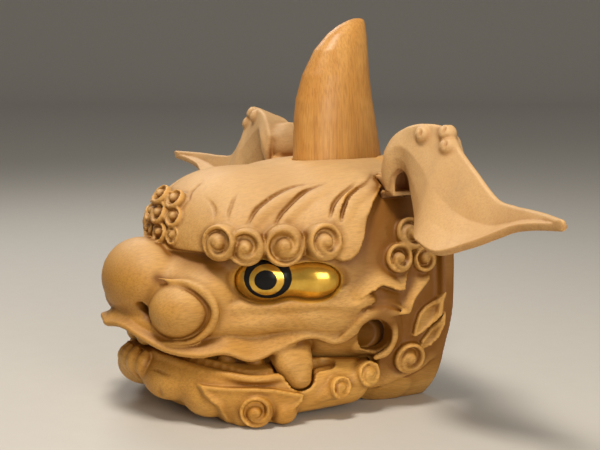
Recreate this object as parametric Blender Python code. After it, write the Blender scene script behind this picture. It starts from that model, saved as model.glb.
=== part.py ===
"""Lion dance mask: a hollow carved head with a hinged lower jaw, a horn, two ears and two gilt eyes.

The face looks along -Y, the mask's own left is +X and up is +Z, in metres. The carving is drawn on
a head 303 units long: forms are laid into a distance field, smoothly joined or cut, and the skin
of the field becomes the solid. Seats, pivots, the underside and the back are cut exactly.
"""
import math

import bmesh
import bpy
import numpy as np

# Driving sizes in metres
HEAD_LENGTH = 0.303        # from the nose to the open back
WALL = 0.013               # wood left around the hollow
LIP_THICKNESS = 0.0054
EAR_THICKNESS = 0.0068
FIT_GAP = 0.0003           # between pieces that seat in each other
JAW_GAP = 0.003            # open seam between cheek and jaw
CARVED_GAP = 0.0025        # between carved faces that only pass each other
PIVOT_RADIUS = 0.007
PIVOT_REACH = 0.014        # how far a pivot stands out of the jaw's arm
ARM_THICKNESS = 0.012
SEAT_DEPTH = 0.005         # how deep the horn sits in the crown
JAW_OPEN = 22              # degrees that the jaw swings down

UNIT = HEAD_LENGTH / 303   # metres for one unit of the drawing
FAR = 60.0

# The drawing, in units
CARVE_LOW, CARVE_HIGH = (0, -175, -15), (165, 172, 262)
BACK_Y = 152               # plane of the open back
PIVOT_Y, PIVOT_Z = 105, 12
ARM_FACE_X = 74            # outer face of the jaw's arm
CROWN_Z = 238              # height of the crown under the horn
NOTCH_X, NOTCH_Y = 8, 58   # inner end of the small notches at both sides of the horn's foot
NOTCH_RADIUS = 5
SEAM = [(54, 66), (68, 59), (76, 48), (73, 36), (69, 22), (67, -30)]      # cheek edge as (y, z)
BROW_EDGE = [(-200, 163), (20, 158), (30, 152), (38, 153), (46, 160), (54, 175), (61, 190),
             (72, 203), (88, 214), (110, 224), (130, 232), (152, 236), (180, 240), (180, 400),
             (-200, 400)]
EYE_CENTRE, EYE_RADII, EYE_TURN = (88, -6, 132), (14, 53, 21), -29
HORN_SECTIONS = [          # height, middle y, half width in x, half depth in y
    (0, 103.5, 28, 51), (42, 100, 28, 46), (62, 99, 27, 43), (87, 101, 24, 37.5),
    (112, 107, 19, 30), (128, 114, 14, 22), (137, 120, 10, 15), (142, 125, 6, 9), (144, 127, 3, 4)]
EAR_FRONT = [(116, 89, 214), (122, 87, 229), (130, 92.5, 238), (139, 97.5, 230), (150, 94, 214),
             (169, 85, 193), (186, 72, 182.5), (200, 65, 177), (225, 66, 171), (258, 75, 182),
             (283, 82, 193), (302, 86, 201), (327, 86, 206), (361, 83, 210)]
EAR_CREST = [(116, 87, 250), (125, 89, 262), (137, 92.5, 270), (152, 95, 274.5), (168, 100, 275.5),
             (182, 105, 273), (192, 104.5, 266), (203, 105, 254.5), (222, 108, 237), (250, 109.5, 216),
             (278, 107, 212.5), (303, 101, 213), (328, 96, 213), (361, 84, 213)]
EAR_REAR = [(116, 136, 234), (124, 139, 237), (134, 140, 239), (145, 139, 240), (158, 134, 241),
            (172, 126, 240), (186, 118, 238), (199, 112, 232), (222, 112, 221), (254, 110, 212),
            (280, 107, 210), (303, 102, 211), (328, 97, 211), (361, 85, 211)]
TENON_LOW, TENON_HIGH = (88, 92, 203), (100, 118, 228)

CARVING_STEP = 2.3         # spacing of the field's samples
EAR_STEP = 2.2
TRIANGLES = {"head": 4900, "jaw": 1650, "ear": 500}


def drawn(size):
    """A real size in units of the drawing."""
    return size / UNIT


def smooth_min(a, b, blend):
    if blend <= 0:
        return np.minimum(a, b)
    near = np.maximum(blend - np.abs(a - b), 0) / blend
    return np.minimum(a, b) - near * near * blend * 0.25


def smooth_max(a, b, blend):
    return -smooth_min(-a, -b, blend)


class Form:
    """A shape given by its distance function and the box around it."""

    def __init__(self, distance, low, high):
        self.distance, self.low, self.high = distance, np.array(low, float), np.array(high, float)


def ball(centre, radii, power=2.0, turn=0.0):
    """An ellipsoid, squarer as the power rises, turned about the upright through its centre."""
    c = np.array(centre, float)
    r = np.array([radii] * 3 if np.isscalar(radii) else radii, float)
    ct, st = math.cos(math.radians(turn)), math.sin(math.radians(turn))

    def distance(x, y, z):
        dx, dy = x - c[0], y - c[1]
        parts = [np.abs(ct * dx + st * dy) / r[0], np.abs(ct * dy - st * dx) / r[1],
                 np.abs(z - c[2]) / r[2]]
        total = sum(p ** power for p in parts) + 1e-9
        slope = np.sqrt(sum((p ** (power - 1) / q) ** 2 for p, q in zip(parts, r))) + 1e-9
        return ((total ** (1 / power) - 1) * total ** (1 - 1 / power) / slope).astype(np.float32)

    wide = np.array([math.hypot(ct * r[0], st * r[1]), math.hypot(st * r[0], ct * r[1]), r[2]])
    return Form(distance, c - wide, c + wide)


def cord(points, radii, flat_start=False):
    """A round rod through points, of changing radius, its first end round or cut square."""
    p = np.array(points, float)
    r = np.broadcast_to(np.array(radii, float), (len(p),))
    ahead = (p[0] - p[1]) / (np.linalg.norm(p[0] - p[1]) + 1e-9)

    def distance(x, y, z):
        best = None
        for a, b, ra, rb in zip(p[:-1], p[1:], r[:-1], r[1:]):
            d = b - a
            along = ((x - a[0]) * d[0] + (y - a[1]) * d[1] + (z - a[2]) * d[2]) / (d @ d + 1e-12)
            t = np.clip(along, 0, 1)
            q = np.sqrt((x - a[0] - t * d[0]) ** 2 + (y - a[1] - t * d[1]) ** 2
                        + (z - a[2] - t * d[2]) ** 2) - (ra + (rb - ra) * t)
            best = q if best is None else np.minimum(best, q)
        if flat_start:
            end = (x - p[0][0]) * ahead[0] + (y - p[0][1]) * ahead[1] + (z - p[0][2]) * ahead[2]
            best = smooth_max(best, end, 1.0)
        return best.astype(np.float32)

    return Form(distance, (p - r[:, None]).min(0), (p + r[:, None]).max(0))


def smooth_line(points, count):
    """Points spread along a smooth line through the ones given."""
    p = np.array(points, float)
    p = np.vstack([2 * p[0] - p[1], p, 2 * p[-1] - p[-2]])
    line = []
    for s in np.linspace(0, len(p) - 3 - 1e-9, count):
        i, t = int(s), s - int(s)
        a, b, c, d = p[i:i + 4]
        line.append(0.5 * (2 * b + (c - a) * t + (2 * a - 5 * b + 4 * c - d) * t * t
                           + (3 * b - a - 3 * c + d) * t ** 3))
    return np.array(line)


def spread(values, count):
    """Values stretched evenly over a count of places."""
    return np.interp(np.linspace(0, 1, count), np.linspace(0, 1, len(values)), values)


class Block:
    """A box of field samples, negative inside the wood, into which forms are laid and cut."""

    def __init__(self, low, high, step, field=None):
        self.low, self.step = np.array(low, float), step
        self.size = np.ceil((np.array(high, float) - self.low) / step).astype(int) + 1
        self.axes = [(self.low[i] + step * np.arange(self.size[i])).astype(np.float32)
                     for i in range(3)]
        self.field = np.full(self.size, FAR, np.float32) if field is None else field

    def copy(self):
        twin = Block(self.low, self.low, self.step, self.field.copy())
        twin.size, twin.axes = self.size, self.axes
        return twin

    def window(self, form, margin):
        low = np.floor((form.low - margin - self.low) / self.step).astype(int)
        high = np.ceil((form.high + margin - self.low) / self.step).astype(int) + 1
        return tuple(slice(max(a, 0), max(min(b, n), 0)) for a, b, n in zip(low, high, self.size))

    def places(self, window=(slice(None),) * 3):
        x, y, z = (axis[s] for axis, s in zip(self.axes, window))
        return x[:, None, None], y[None, :, None], z[None, None, :]

    def add(self, form, blend=0.0, reach=FAR):
        w = self.window(form, reach)
        self.field[w] = smooth_min(self.field[w], form.distance(*self.places(w)), blend)

    def cut(self, form, blend=0.0):
        w = self.window(form, blend + self.step)
        self.field[w] = smooth_max(self.field[w], -form.distance(*self.places(w)), blend)

    def value(self, points):
        """The field at points, between the samples."""
        g = np.clip((np.atleast_2d(points) - self.low) / self.step, 0, self.size - 1.001)
        i = g.astype(int)
        t = g - i
        total = 0
        for corner in CORNERS:
            weight = np.prod([t[:, k] if corner[k] else 1 - t[:, k] for k in range(3)], axis=0)
            total = total + weight * self.field[tuple((i + corner).T)]
        return total

    def slope(self, points):
        """Unit direction out of the wood at points."""
        points = np.atleast_2d(points)
        g = np.stack([self.value(points + d) - self.value(points - d)
                      for d in np.eye(3) * self.step], 1)
        return g / (np.linalg.norm(g, axis=1, keepdims=True) + 1e-9)

    def side(self, y, z):
        """The outermost point of the left side at a height z and a depth y."""
        x = np.arange(self.axes[0][-1], 0, -self.step * 0.5)
        v = self.value(np.stack([x, 0 * x + y, 0 * x + z], 1))
        i = np.nonzero(v < 0)[0]
        if len(i) == 0 or i[0] == 0:
            return None
        i = i[0]
        part = v[i - 1] / (v[i - 1] - v[i])
        return np.array([x[i - 1] + part * (x[i] - x[i - 1]), y, z])


CORNERS = [np.array((i, j, k)) for i in (0, 1) for j in (0, 1) for k in (0, 1)]


def outline_distance(outline, u, v):
    """Signed distance in a plane to a closed outline, negative inside."""
    p = np.array(outline, float)
    best = np.full(np.broadcast(u, v).shape, 1e9)
    inside = np.zeros(best.shape, bool)
    for a, b in zip(p, np.roll(p, -1, 0)):
        e = b - a
        t = np.clip(((u - a[0]) * e[0] + (v - a[1]) * e[1]) / (e @ e), 0, 1)
        best = np.minimum(best, (u - a[0] - t * e[0]) ** 2 + (v - a[1] - t * e[1]) ** 2)
        if a[1] != b[1]:
            crosses = ((a[1] <= v) & (v < b[1])) | ((b[1] <= v) & (v < a[1]))
            inside ^= crosses & (u < a[0] + (v - a[1]) * e[0] / e[1])
    best = np.sqrt(best)
    return np.where(inside, -best, best).astype(np.float32)


def side_outline(block, outline):
    """The outline, drawn in y and z, as a field that runs straight through in x."""
    _, y, z = block.places()
    return outline_distance(outline, y[0], z[0])[None]


def scroll(block, centre, out, radius, rise=6.0, groove=5.0, depth=14.0, blend=3.0):
    """A rolled lock of hair: a round boss whose end has a rim, a groove and a knob."""
    c, w = np.array(centre, float), np.array(out, float).ravel()
    w = w / np.linalg.norm(w)
    u = np.cross((0, 0, 1), w)
    u = u / np.linalg.norm(u)
    v = np.cross(w, u)

    def distance(x, y, z):
        a, e, h = ((x - c[0]) * k[0] + (y - c[1]) * k[1] + (z - c[2]) * k[2] for k in (u, v, w))
        rho = np.sqrt(a * a + e * e)
        ridge = 0.5 + 0.5 * np.cos(2 * np.pi * rho / (0.9 * radius))
        top = rise - groove * (1 - ridge) * (rho < 0.9 * radius) - 0.12 * radius * (rho / radius) ** 4
        return smooth_max(smooth_max(0.9 * (h - top), rho - radius, 2.0), -h - depth, 1.0)

    wide = (np.abs(u) + np.abs(v)) * (radius + 2) + np.abs(w) * max(rise + 1, depth)
    block.add(Form(distance, c - wide, c + wide), blend, blend + 2 * block.step)


def trail(skin, route, count, lift=0.0):
    """A smooth line drawn in y and z and carried onto the side of a carved skin."""
    points = [skin.side(y, z) for y, z in smooth_line(route, count)]
    points = np.array([p for p in points if p is not None])
    return points + lift * skin.slope(points)


def strand(block, skin, route, radii, lift=0.0, blend=3.0, cut=False, count=26):
    """A rounded lock laid along the side, or a groove cut along it."""
    points = trail(skin, route, count, lift)
    form = cord(points, spread(radii, len(points)))
    if cut:
        block.cut(form, blend)
    else:
        block.add(form, blend, blend + 2 * block.step)


def fin(block, inner, edge, root, thickness, count, blend):
    """A thin flaring sheet between a root line in the wood and a free edge cut square."""
    for p, q in zip(smooth_line(inner, count), smooth_line(edge, count)):
        block.add(cord([q, p], [thickness / 2, root], flat_start=True), blend,
                  blend + 2 * block.step)


def settle(field):
    """Fill the places where wood would touch itself only along an edge or at a point."""
    for _ in range(12):
        inside = field < 0
        bad = np.zeros(field.shape, bool)
        for axis in range(3):
            i, mark = np.moveaxis(inside, axis, 0), np.moveaxis(bad, axis, 0)
            a, b, c, d = i[:, :-1, :-1], i[:, 1:, :-1], i[:, :-1, 1:], i[:, 1:, 1:]
            cross = (a == d) & (b == c) & (a != b)
            for u in (slice(None, -1), slice(1, None)):
                for v in (slice(None, -1), slice(1, None)):
                    mark[:, u, v] |= cross
        size = np.array(field.shape) - 1
        eight = [inside[c[0]:size[0] + c[0], c[1]:size[1] + c[1], c[2]:size[2] + c[2]]
                 for c in CORNERS]
        count = sum(e.astype(np.int8) for e in eight)
        for i in range(4):
            apart = (eight[i] == eight[7 - i]) & (((count == 2) & eight[i])
                                                  | ((count == 6) & ~eight[i]))
            for c in CORNERS:
                bad[c[0]:size[0] + c[0], c[1]:size[1] + c[1], c[2]:size[2] + c[2]] |= apart
        if not (bad & ~inside).any():
            break
        field[bad & ~inside] = -0.1


def skin_mesh(name, block, both_sides=False):
    """The surface where the field changes sign, as an object in metres."""
    field, low = block.field, block.low.copy()
    if both_sides:
        field = np.concatenate([field[::-1][:-1], field], 0)
        low[0] = -(low[0] + block.step * (block.size[0] - 1))
    field = np.pad(field, 1, constant_values=FAR)
    settle(field)
    low = low - block.step
    size = np.array(field.shape) - 1
    corners = [field[c[0]:size[0] + c[0], c[1]:size[1] + c[1], c[2]:size[2] + c[2]]
               for c in CORNERS]
    below = sum((c < 0).astype(np.int8) for c in corners)
    active = (below > 0) & (below < 8)
    cells = np.argwhere(active)
    number = np.full(size, -1, np.int64)
    number[active] = np.arange(len(cells))
    values = [c[active] for c in corners]
    total, hits = np.zeros((len(cells), 3)), np.zeros(len(cells))
    for i, a in enumerate(CORNERS):
        for axis in range(3):
            if a[axis]:
                continue
            j = i + (4, 2, 1)[axis]
            cross = (values[i] < 0) != (values[j] < 0)
            step = values[i][cross] / (values[i][cross] - values[j][cross])
            total[cross] += a
            total[cross, axis] += step
            hits[cross] += 1
    vertices = (low + (cells + total / hits[:, None]) * block.step) * UNIT
    faces = []
    for axis in range(3):
        u, v = (axis + 1) % 3, (axis + 2) % 3
        span = [slice(1, n) for n in size]
        span[axis] = slice(0, size[axis])
        here = field[tuple(span)]
        span[axis] = slice(1, size[axis] + 1)
        there = field[tuple(span)]
        for outward in (True, False):
            at = np.argwhere((here < 0) & (there >= 0) if outward else (here >= 0) & (there < 0))
            start = [1, 1, 1]
            start[axis] = 0
            at = at + start
            ring = []
            for du, dv in ((1, 1), (0, 1), (0, 0), (1, 0)):
                cell = at.copy()
                cell[:, u] -= du
                cell[:, v] -= dv
                ring.append(number[tuple(cell.T)])
            faces.append(np.stack(ring if outward else ring[::-1], 1))
    mesh = bpy.data.meshes.new(name)
    mesh.from_pydata(vertices.tolist(), [], np.concatenate(faces).tolist())
    obj = bpy.data.objects.new(name, mesh)
    keep_largest_shell(mesh)
    return obj


def keep_largest_shell(mesh):
    """Drop crumbs that the carving left loose."""
    bm = bmesh.new()
    bm.from_mesh(mesh)
    left, shells = set(bm.verts), []
    while left:
        shell, front = set(), [left.pop()]
        while front:
            vert = front.pop()
            shell.add(vert)
            for edge in vert.link_edges:
                other = edge.other_vert(vert)
                if other in left:
                    left.discard(other)
                    front.append(other)
        shells.append(shell)
    shells.sort(key=len)
    bmesh.ops.delete(bm, geom=[v for shell in shells[:-1] for v in shell], context="VERTS")
    bm.to_mesh(mesh)
    bm.free()


def face_core(step):
    """The rounded masses under the carving: skull, forehead, muzzle and cheeks."""
    core = Block(CARVE_LOW, CARVE_HIGH, step)
    core.add(ball((0, 100, 122), (124, 148, 82), 2.8))
    core.add(ball((0, 112, 128), (127, 140, 100), 2.8), 8)
    core.add(ball((0, -25, 160), (84, 66, 60)), 10)
    core.add(ball((0, -74, 118), (68, 66, 44)), 18)
    core.add(cord([(20, -132, 98), (55, -112, 90), (80, -84, 86), (92, -50, 86), (100, -15, 94),
                   (108, 15, 98), (112, 45, 98), (116, 80, 100)],
                  [12, 15, 18, 18, 17, 17, 17, 18]), 16)
    return core


def jowl_core(step):
    jowl = Block(CARVE_LOW, CARVE_HIGH, step)
    jowl.add(ball((0, 132, 85), (127, 112, 108), 2.4))
    return jowl


def carve_muzzle(head):
    head.add(ball((0, -115, 130), (45, 38, 39)), 6)
    head.add(ball((56, -99, 107), (28, 32, 28)), 4)
    arc = [(48, -120, 138), (58, -111, 136), (68, -100, 135), (80, -88, 127), (87, -81, 111),
           (85, -85, 95), (78, -97, 83), (66, -114, 79), (52, -130, 80)]
    head.add(cord(smooth_line(arc, 20), spread([0.5, 2, 3.5, 4.2, 4.4, 4.2, 4, 3.2, 1.5], 20)), 5, 12)
    head.cut(cord([(38, -140, 111), (36, -118, 113)], [4.5, 3]), 1)
    head.cut(cord([(47, -140, 104), (42, -118, 106)], [4.5, 3]), 1)


def carve_lip(head):
    inner = [(0, -146, 98), (20, -141, 97), (42, -132, 94), (60, -116, 89), (76, -95, 87),
             (86, -70, 87), (92, -45, 85), (97, -20, 87), (103, 0, 93), (108, 20, 91),
             (112, 38, 87), (117, 50, 96), (121, 60, 104)]
    edge = [(0, -156, 90), (24, -148, 92), (46, -138, 84), (66, -120, 73), (83, -98, 68),
            (93, -74, 70), (99, -50, 62), (103, -25, 70), (109, 0, 79), (113, 18, 78),
            (117, 34, 73), (124, 48, 82), (129, 57, 92)]
    fin(head, inner, edge, 9, drawn(LIP_THICKNESS), 110, 4)


def carve_brow(head, skin):
    for (y, z), radius in [((-70, 172), 19), ((-51, 167.5), 18.5), ((-19, 168), 20), ((14, 171), 20.5)]:
        p = skin.side(y, z)
        scroll(head, p, skin.slope(p) + np.array([0, 0, -0.15]), radius, 6, 6, 22)
    for route, radii in [
            ([(36, 221), (10.8, 218), (-12.5, 211), (-35, 199.6), (-47, 187)], [0.5, 2, 2.5, 2.5, 1]),
            ([(46, 222), (28, 218), (9.4, 210.9), (-13, 197), (-23, 187)], [0.5, 2, 2.5, 2.5, 1]),
            ([(100, 230), (76, 222), (55, 214), (38, 205), (28, 191)], [0.5, 3, 3.5, 3.5, 2])]:
        strand(head, skin, route, radii, 0.5, 3, cut=True)
    for centre, radius in [((0, -92, 206), 11), ((17, -86, 203), 11), ((25, -90, 188), 10),
                           ((7, -97, 190), 11), ((11, -98, 173), 10), ((28, -92, 172), 9)]:
        scroll(head, centre, skin.slope(centre), radius, 7, 3.5, 14, 2)


def carve_cheek(head, core):
    for (y, z), radius in [((108, 171), 16), ((92, 150), 14), ((121, 147), 12.5), ((109, 51), 16)]:
        p = core.side(y, z)
        scroll(head, p, core.slope(p), radius, 7, 5, 14)
    for route, radii in [
            ([(110, 134), (101, 124), (88, 121), (72, 125), (56, 118), (43, 112)],
             [7, 7, 6, 5, 3, 1]),
            ([(92, 136), (75, 139), (66, 131), (51, 117)], [6, 6, 5, 1]),
            ([(136, 131), (126, 124), (117, 115), (106, 103), (90, 96)], [6, 6, 5, 4, 1]),
            ([(109, 70), (115, 82), (122, 92), (131, 101), (141, 111)], [3, 6, 7, 5, 1]),
            ([(117, 60), (127, 65), (136, 77), (142, 92)], [2, 5, 4, 1]),
            ([(128, 66), (120, 42), (110, 28), (92, 20), (78, 14)], [3, 5, 5, 4, 1])]:
        strand(head, core, route, radii, 0.8)
    ring = [(112, 16, 78), (116, 30, 74), (121, 41, 83), (126, 50, 93), (128, 62, 100), (127, 76, 98.5),
            (125, 88, 87), (124, 90, 72), (123, 83, 59), (120, 73, 54)]
    head.add(cord(smooth_line(ring, 40), spread([3, 3.5, 4.5, 4.8, 4.8, 4.6, 4.4, 3.5], 40)), 2, 12)
    head.cut(cord([(150, 84, 79), (124, 72, 78), (110, 60, 77), (88, 34, 75)], [15.5, 13, 11.5, 10]), 2)


def carve_teeth(block, row, top, bottom):
    """Blunt teeth side by side along a bow, from a root height to a tip height."""
    for x, y in smooth_line(row, 6):
        block.add(cord([(x, y, top), (x, y, bottom)], [11, 9]), 2, 10)


def add_fang(block):
    """The long side tooth, broad at the lip and blunt at the tip."""
    for shift in (-9, 0, 9):
        aside = np.array([0.1 * shift, shift, 0])
        tip = np.array([109, -5, 41]) + 0.35 * aside
        block.add(cord([aside + (85, -6, 86), aside + (94, -8, 67), 0.7 * aside + (103, -7, 53), tip],
                       [11.5, 12.5, 12, 8.5]), 3, 12)


def carve_head(step):
    """The upper head: brow, nose, lip, cheeks and upper teeth round one hollow."""
    head = face_core(step)
    x, y, z = head.places()
    jowl = jowl_core(step)
    solid = smooth_min(head.field, jowl.field, 12)
    mouth_side = side_outline(head, [(-300, -60), (67, -60)] + SEAM[::-1]
                              + [(40, 74), (20, 90), (-300, 90)])
    head.field = smooth_min(head.field, smooth_max(jowl.field, -mouth_side, 1.5), 10)
    rim = Block(CARVE_LOW, CARVE_HIGH, step)
    rim.add(ball((0, 150, 125), (138, 60, 112), 2.6))
    head.field = smooth_min(head.field, smooth_max(rim.field, 138 - y, 4), 6)
    core = head.copy()
    brow = Block(CARVE_LOW, CARVE_HIGH, step)
    brow.add(ball((0, 100, 138), (138, 150, 99), 2.6))
    brow.add(ball((0, -22, 160), (99, 80, 72)), 22)
    brow.field = smooth_max(brow.field, side_outline(brow, BROW_EDGE), 4)
    head.field = smooth_min(head.field, brow.field, 4)
    skin = head.copy()
    carve_muzzle(head)
    head.cut(cord([(83, -50, 134), (102, -22, 133), (115, 3, 133), (123, 27, 134)],
                  [13, 15, 15, 12]), 5)
    carve_lip(head)
    turn = math.radians(EYE_TURN)
    aside, across = x - EYE_CENTRE[0], y - EYE_CENTRE[1]
    along, out = (f * math.cos(turn) - g * math.sin(turn) for f, g in ((across, aside), (aside, -across)))
    window = (np.abs(along / (EYE_RADII[1] + 1)) ** 2.4
              + np.abs((z - EYE_CENTRE[2]) / (EYE_RADII[2] - 1)) ** 2.4) ** (1 / 2.4) - 1
    head.field = smooth_max(head.field, -np.maximum(EYE_RADII[2] * window, -out - 2), 1.5)
    carve_brow(head, skin)
    backing = ball(EYE_CENTRE, np.array(EYE_RADII) + 9, turn=EYE_TURN).distance(*head.places())
    hollow = smooth_max(solid + drawn(WALL), -backing, 4)
    head.field = smooth_max(head.field, -hollow, 3)
    carve_cheek(head, core)
    mouth = side_outline(head, [(-62, -60), (125, -60), (125, 2), (92, 22), (72, 44), (62, 62),
                                (50, 86), (-62, 86)])
    head.field = smooth_max(head.field, -smooth_max(mouth, x - 78, 6), 3)
    carve_teeth(head, [(12, -118), (38, -106), (60, -84), (74, -54), (80, -24)], 84, 76)
    cheek = cord([(ARM_FACE_X, PIVOT_Y, PIVOT_Z), (130, PIVOT_Y, PIVOT_Z)],
                 2.4 * drawn(PIVOT_RADIUS), True)
    cheek_field = smooth_max(cheek.distance(*head.places()), solid, 2)
    head.field = smooth_min(head.field, cheek_field, 4)
    add_fang(head)
    head.field = np.maximum(head.field, -arm_room(head))
    return head


def arm_line():
    return cord([(92, 34, 26), (82, 56, 20), (66, 84, 13), (66, PIVOT_Y, PIVOT_Z)], [15, 12, 11, 11])


def arm_room(block):
    """The space that the jaw's arm and its swing need inside the cheek."""
    x, y, z = block.places()
    gap = drawn(CARVED_GAP)
    swing = cord([(40, PIVOT_Y, PIVOT_Z), (ARM_FACE_X, PIVOT_Y, PIVOT_Z)], 14 + gap)
    low = cord([(82, 60, 18), (66, 84, 11), (66, PIVOT_Y, PIVOT_Z), (66, PIVOT_Y, -20)], 12 + gap)
    room = smooth_min(swing.distance(x, y, z), low.distance(x, y, z), 2)
    return smooth_max(room, x - (ARM_FACE_X + gap), 0)


def carve_jaw(step, head):
    """The lower jaw: a trough with a bulging chin, curls along its sides and two arms."""
    jaw = Block(CARVE_LOW, (165, 172, 110), step)
    x, y, z = jaw.places()
    jaw.add(cord(smooth_line([(0, -103, 47), (30, -97, 44), (58, -82, 38), (78, -54, 31),
                              (90, -18, 29), (94, 20, 30), (95, 54, 30)], 24),
                 spread([22, 22, 24, 25, 25, 25, 24], 24)))
    jaw.add(ball((0, -6, 30), (90, 100, 34), 2.6))
    jaw.add(ball((32, -101, 38), (32, 26, 21)), 5)
    jaw.add(ball((64, -74, 26), (26, 28, 22)), 5)
    skin = jaw.copy()
    leaf = side_outline(jaw, [(-100, 54), (-96, 40), (-91, 22), (-80, 6), (-60, -10), (-20, -14),
                              (-4, 4), (-4, 24), (-30, 46), (-60, 52)])
    raised = smooth_max(jaw.field - 5, leaf, 3)
    jaw.field = smooth_min(jaw.field, smooth_max(raised, 30 - x, 3), 2)
    p = skin.side(-50, 17)
    jaw.add(ball(p + np.array([-6, 0, -3]), (16, 19, 18)), 4)
    scroll(jaw, p + np.array([4, 0, 0]), (0.9, -0.42, -0.12), 15, 7, 4)
    jaw.add(ball((108, -22, 14), (13, 14, 14)), 3)
    for (side_y, side_z), radius in [((30, 31), 11), ((69, 38), 12.5)]:
        p = skin.side(side_y, side_z)
        tail = skin.side(side_y - 28, side_z - 12)
        jaw.add(cord([p, tail - np.array([5, 0, 0])], [radius - 1, 4]), 3, 10)
        scroll(jaw, p + np.array([2, 0, 0]), (0.95, 0.1, 0.12), radius, 6, 4, 12, 2)
    for centre, radius in [((0, -130, 58), 8), ((7, -131, 47), 7), ((0, -126, 39), 7)]:
        jaw.add(ball(centre, radius), 2)
    rim = smooth_line([(0, -118, 61), (22, -114, 61), (46, -106, 58), (70, -90, 53), (92, -68, 48),
                       (104, -48, 45), (108, -24, 46), (110, 0, 50), (112, 30, 54),
                       (112, 58, 55)], 60)
    for point in rim[::2]:
        jaw.cut(cord([point + np.array([0, 0, 10]), point + np.array([0, 0, 24])], 10), 0)
    jaw.add(cord(rim, 4.2), 3, 10)
    jaw.cut(ball((0, 40, 66), (86, 142, 50), 2.6), 5)
    carve_teeth(jaw, [(12, -98), (38, -89), (60, -70), (77, -43), (84, -12)], 46, 59)
    seam = side_outline(jaw, [(-300, -60), (67, -60)] + SEAM[::-1] + [(40, 90), (-300, 90)])
    body = smooth_max(jaw.field, seam + drawn(JAW_GAP), 1)
    bar = arm_line().distance(x, y, z)
    bar = smooth_max(bar, x - ARM_FACE_X - np.clip((80 - y) * 1.2, 0, 60), 2)
    bar = smooth_max(bar, ARM_FACE_X - drawn(ARM_THICKNESS) - x, 1)
    jaw.field = smooth_min(body, bar, 4)
    clear_swing(jaw, head)
    return jaw


def clear_swing(jaw, head):
    """Take away what would come too near the upper head anywhere in the jaw's swing."""
    near = jaw.field < jaw.step
    places = np.argwhere(near) * jaw.step + jaw.low
    y, z = places[:, 1] - PIVOT_Y, places[:, 2] - PIVOT_Z
    for angle in np.radians(np.linspace(0, JAW_OPEN, 7)):
        opened = np.stack([places[:, 0], PIVOT_Y + y * math.cos(angle) - z * math.sin(angle),
                           PIVOT_Z + y * math.sin(angle) + z * math.cos(angle)], 1)
        space = np.where(opened[:, 2] > CARVE_LOW[2], head.value(opened), FAR)
        jaw.field[near] = np.maximum(jaw.field[near], drawn(CARVED_GAP) - space)


def carve_ear(step, head):
    """The left ear: a broad leaf hanging from a hood, hollow below, with a root behind it."""
    ear = Block((84, 30, 150), (372, 160, 296), step)
    half = drawn(EAR_THICKNESS) / 2
    count = 90
    rows = [smooth_line(line, count) for line in (EAR_FRONT, EAR_CREST, EAR_REAR)]
    sag = spread([-4, -5, -6, -7, -6, -2, 4, 8, 8, 5, 3, 2], count)
    for front, crest, rear, dip in zip(*rows, sag):
        middle = (front + crest) / 2 + np.array([0, dip, -dip * 0.5])
        below = (front + middle) / 2 + np.array([0, dip * 0.3, 0])
        over = np.array([crest[0], 0.55 * rear[1] + 0.45 * crest[1], 0.75 * crest[2] + 0.25 * rear[2]])
        ear.add(cord([front, below, middle, crest, over, rear], half, flat_start=True), 1.5, 8)
    ear.add(ball((118, 112, 238), (14, 24, 27)), 6)
    x, y, z = ear.places()
    root = np.maximum(np.maximum(np.maximum(92 - x, x - 124), np.maximum(89 - y, y - 122)),
                      np.maximum(209 - z, z - 226))
    ear.field = smooth_min(ear.field, root, 1.5)
    niche = np.maximum(np.hypot(y - 100.5, np.maximum(z - 223, 0)) - 9.5, np.maximum(213 - z, 112 - x))
    ear.field = smooth_max(ear.field, -np.maximum(niche, x - 131), 1)
    x, y, z = (a.ravel() for a in np.broadcast_arrays(*ear.places()))
    near = head.value(np.stack([np.minimum(x, CARVE_HIGH[0] - 1), y, z], 1)).reshape(ear.size)
    near = np.where(ear.places()[0] > CARVE_HIGH[0] - 8, FAR, near)
    ear.field = np.maximum(ear.field, drawn(CARVED_GAP) - near)
    return ear


def cutter(name, obj):
    """Keep a shape only as a cutting tool."""
    obj.name = name
    obj.display_type = "WIRE"
    obj.hide_render = True
    cutters.objects.link(obj)
    return obj


def boolean(obj, tool, operation):
    modifier = obj.modifiers.new(tool.name, "BOOLEAN")
    modifier.operation, modifier.solver, modifier.object = operation, "EXACT", tool


def decimate(obj, triangles):
    obj.data.update()
    now = sum(len(p.vertices) - 2 for p in obj.data.polygons)
    modifier = obj.modifiers.new("facets", "DECIMATE")
    modifier.ratio = min(1.0, triangles / now)
    modifier.use_symmetry = False


def mesh_object(name, bm):
    """An object of a closed mesh, its faces turned outward."""
    bmesh.ops.recalc_face_normals(bm, faces=bm.faces)
    if bm.calc_volume(signed=True) < 0:
        bmesh.ops.reverse_faces(bm, faces=bm.faces)
    mesh = bpy.data.meshes.new(name)
    bm.to_mesh(mesh)
    bm.free()
    return bpy.data.objects.new(name, mesh)


def box(low, high):
    """A box between two corners given in units."""
    bm = bmesh.new()
    bmesh.ops.create_cube(bm, size=1.0)
    low, high = np.array(low, float) * UNIT, np.array(high, float) * UNIT
    for vert in bm.verts:
        vert.co = (low + high) / 2 + np.array(vert.co) * (high - low)
    return mesh_object("box", bm)


def rod(start, end, radius, segments=16):
    """A round rod along x between two points given in units."""
    bm = bmesh.new()
    bmesh.ops.create_cone(bm, cap_ends=True, segments=segments, radius1=radius * UNIT,
                          radius2=radius * UNIT, depth=abs(end[0] - start[0]) * UNIT)
    for vert in bm.verts:
        x, y, z = vert.co
        vert.co = (z + (start[0] + end[0]) / 2 * UNIT, y + start[1] * UNIT, start[2] * UNIT - x)
    return mesh_object("rod", bm)


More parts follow.
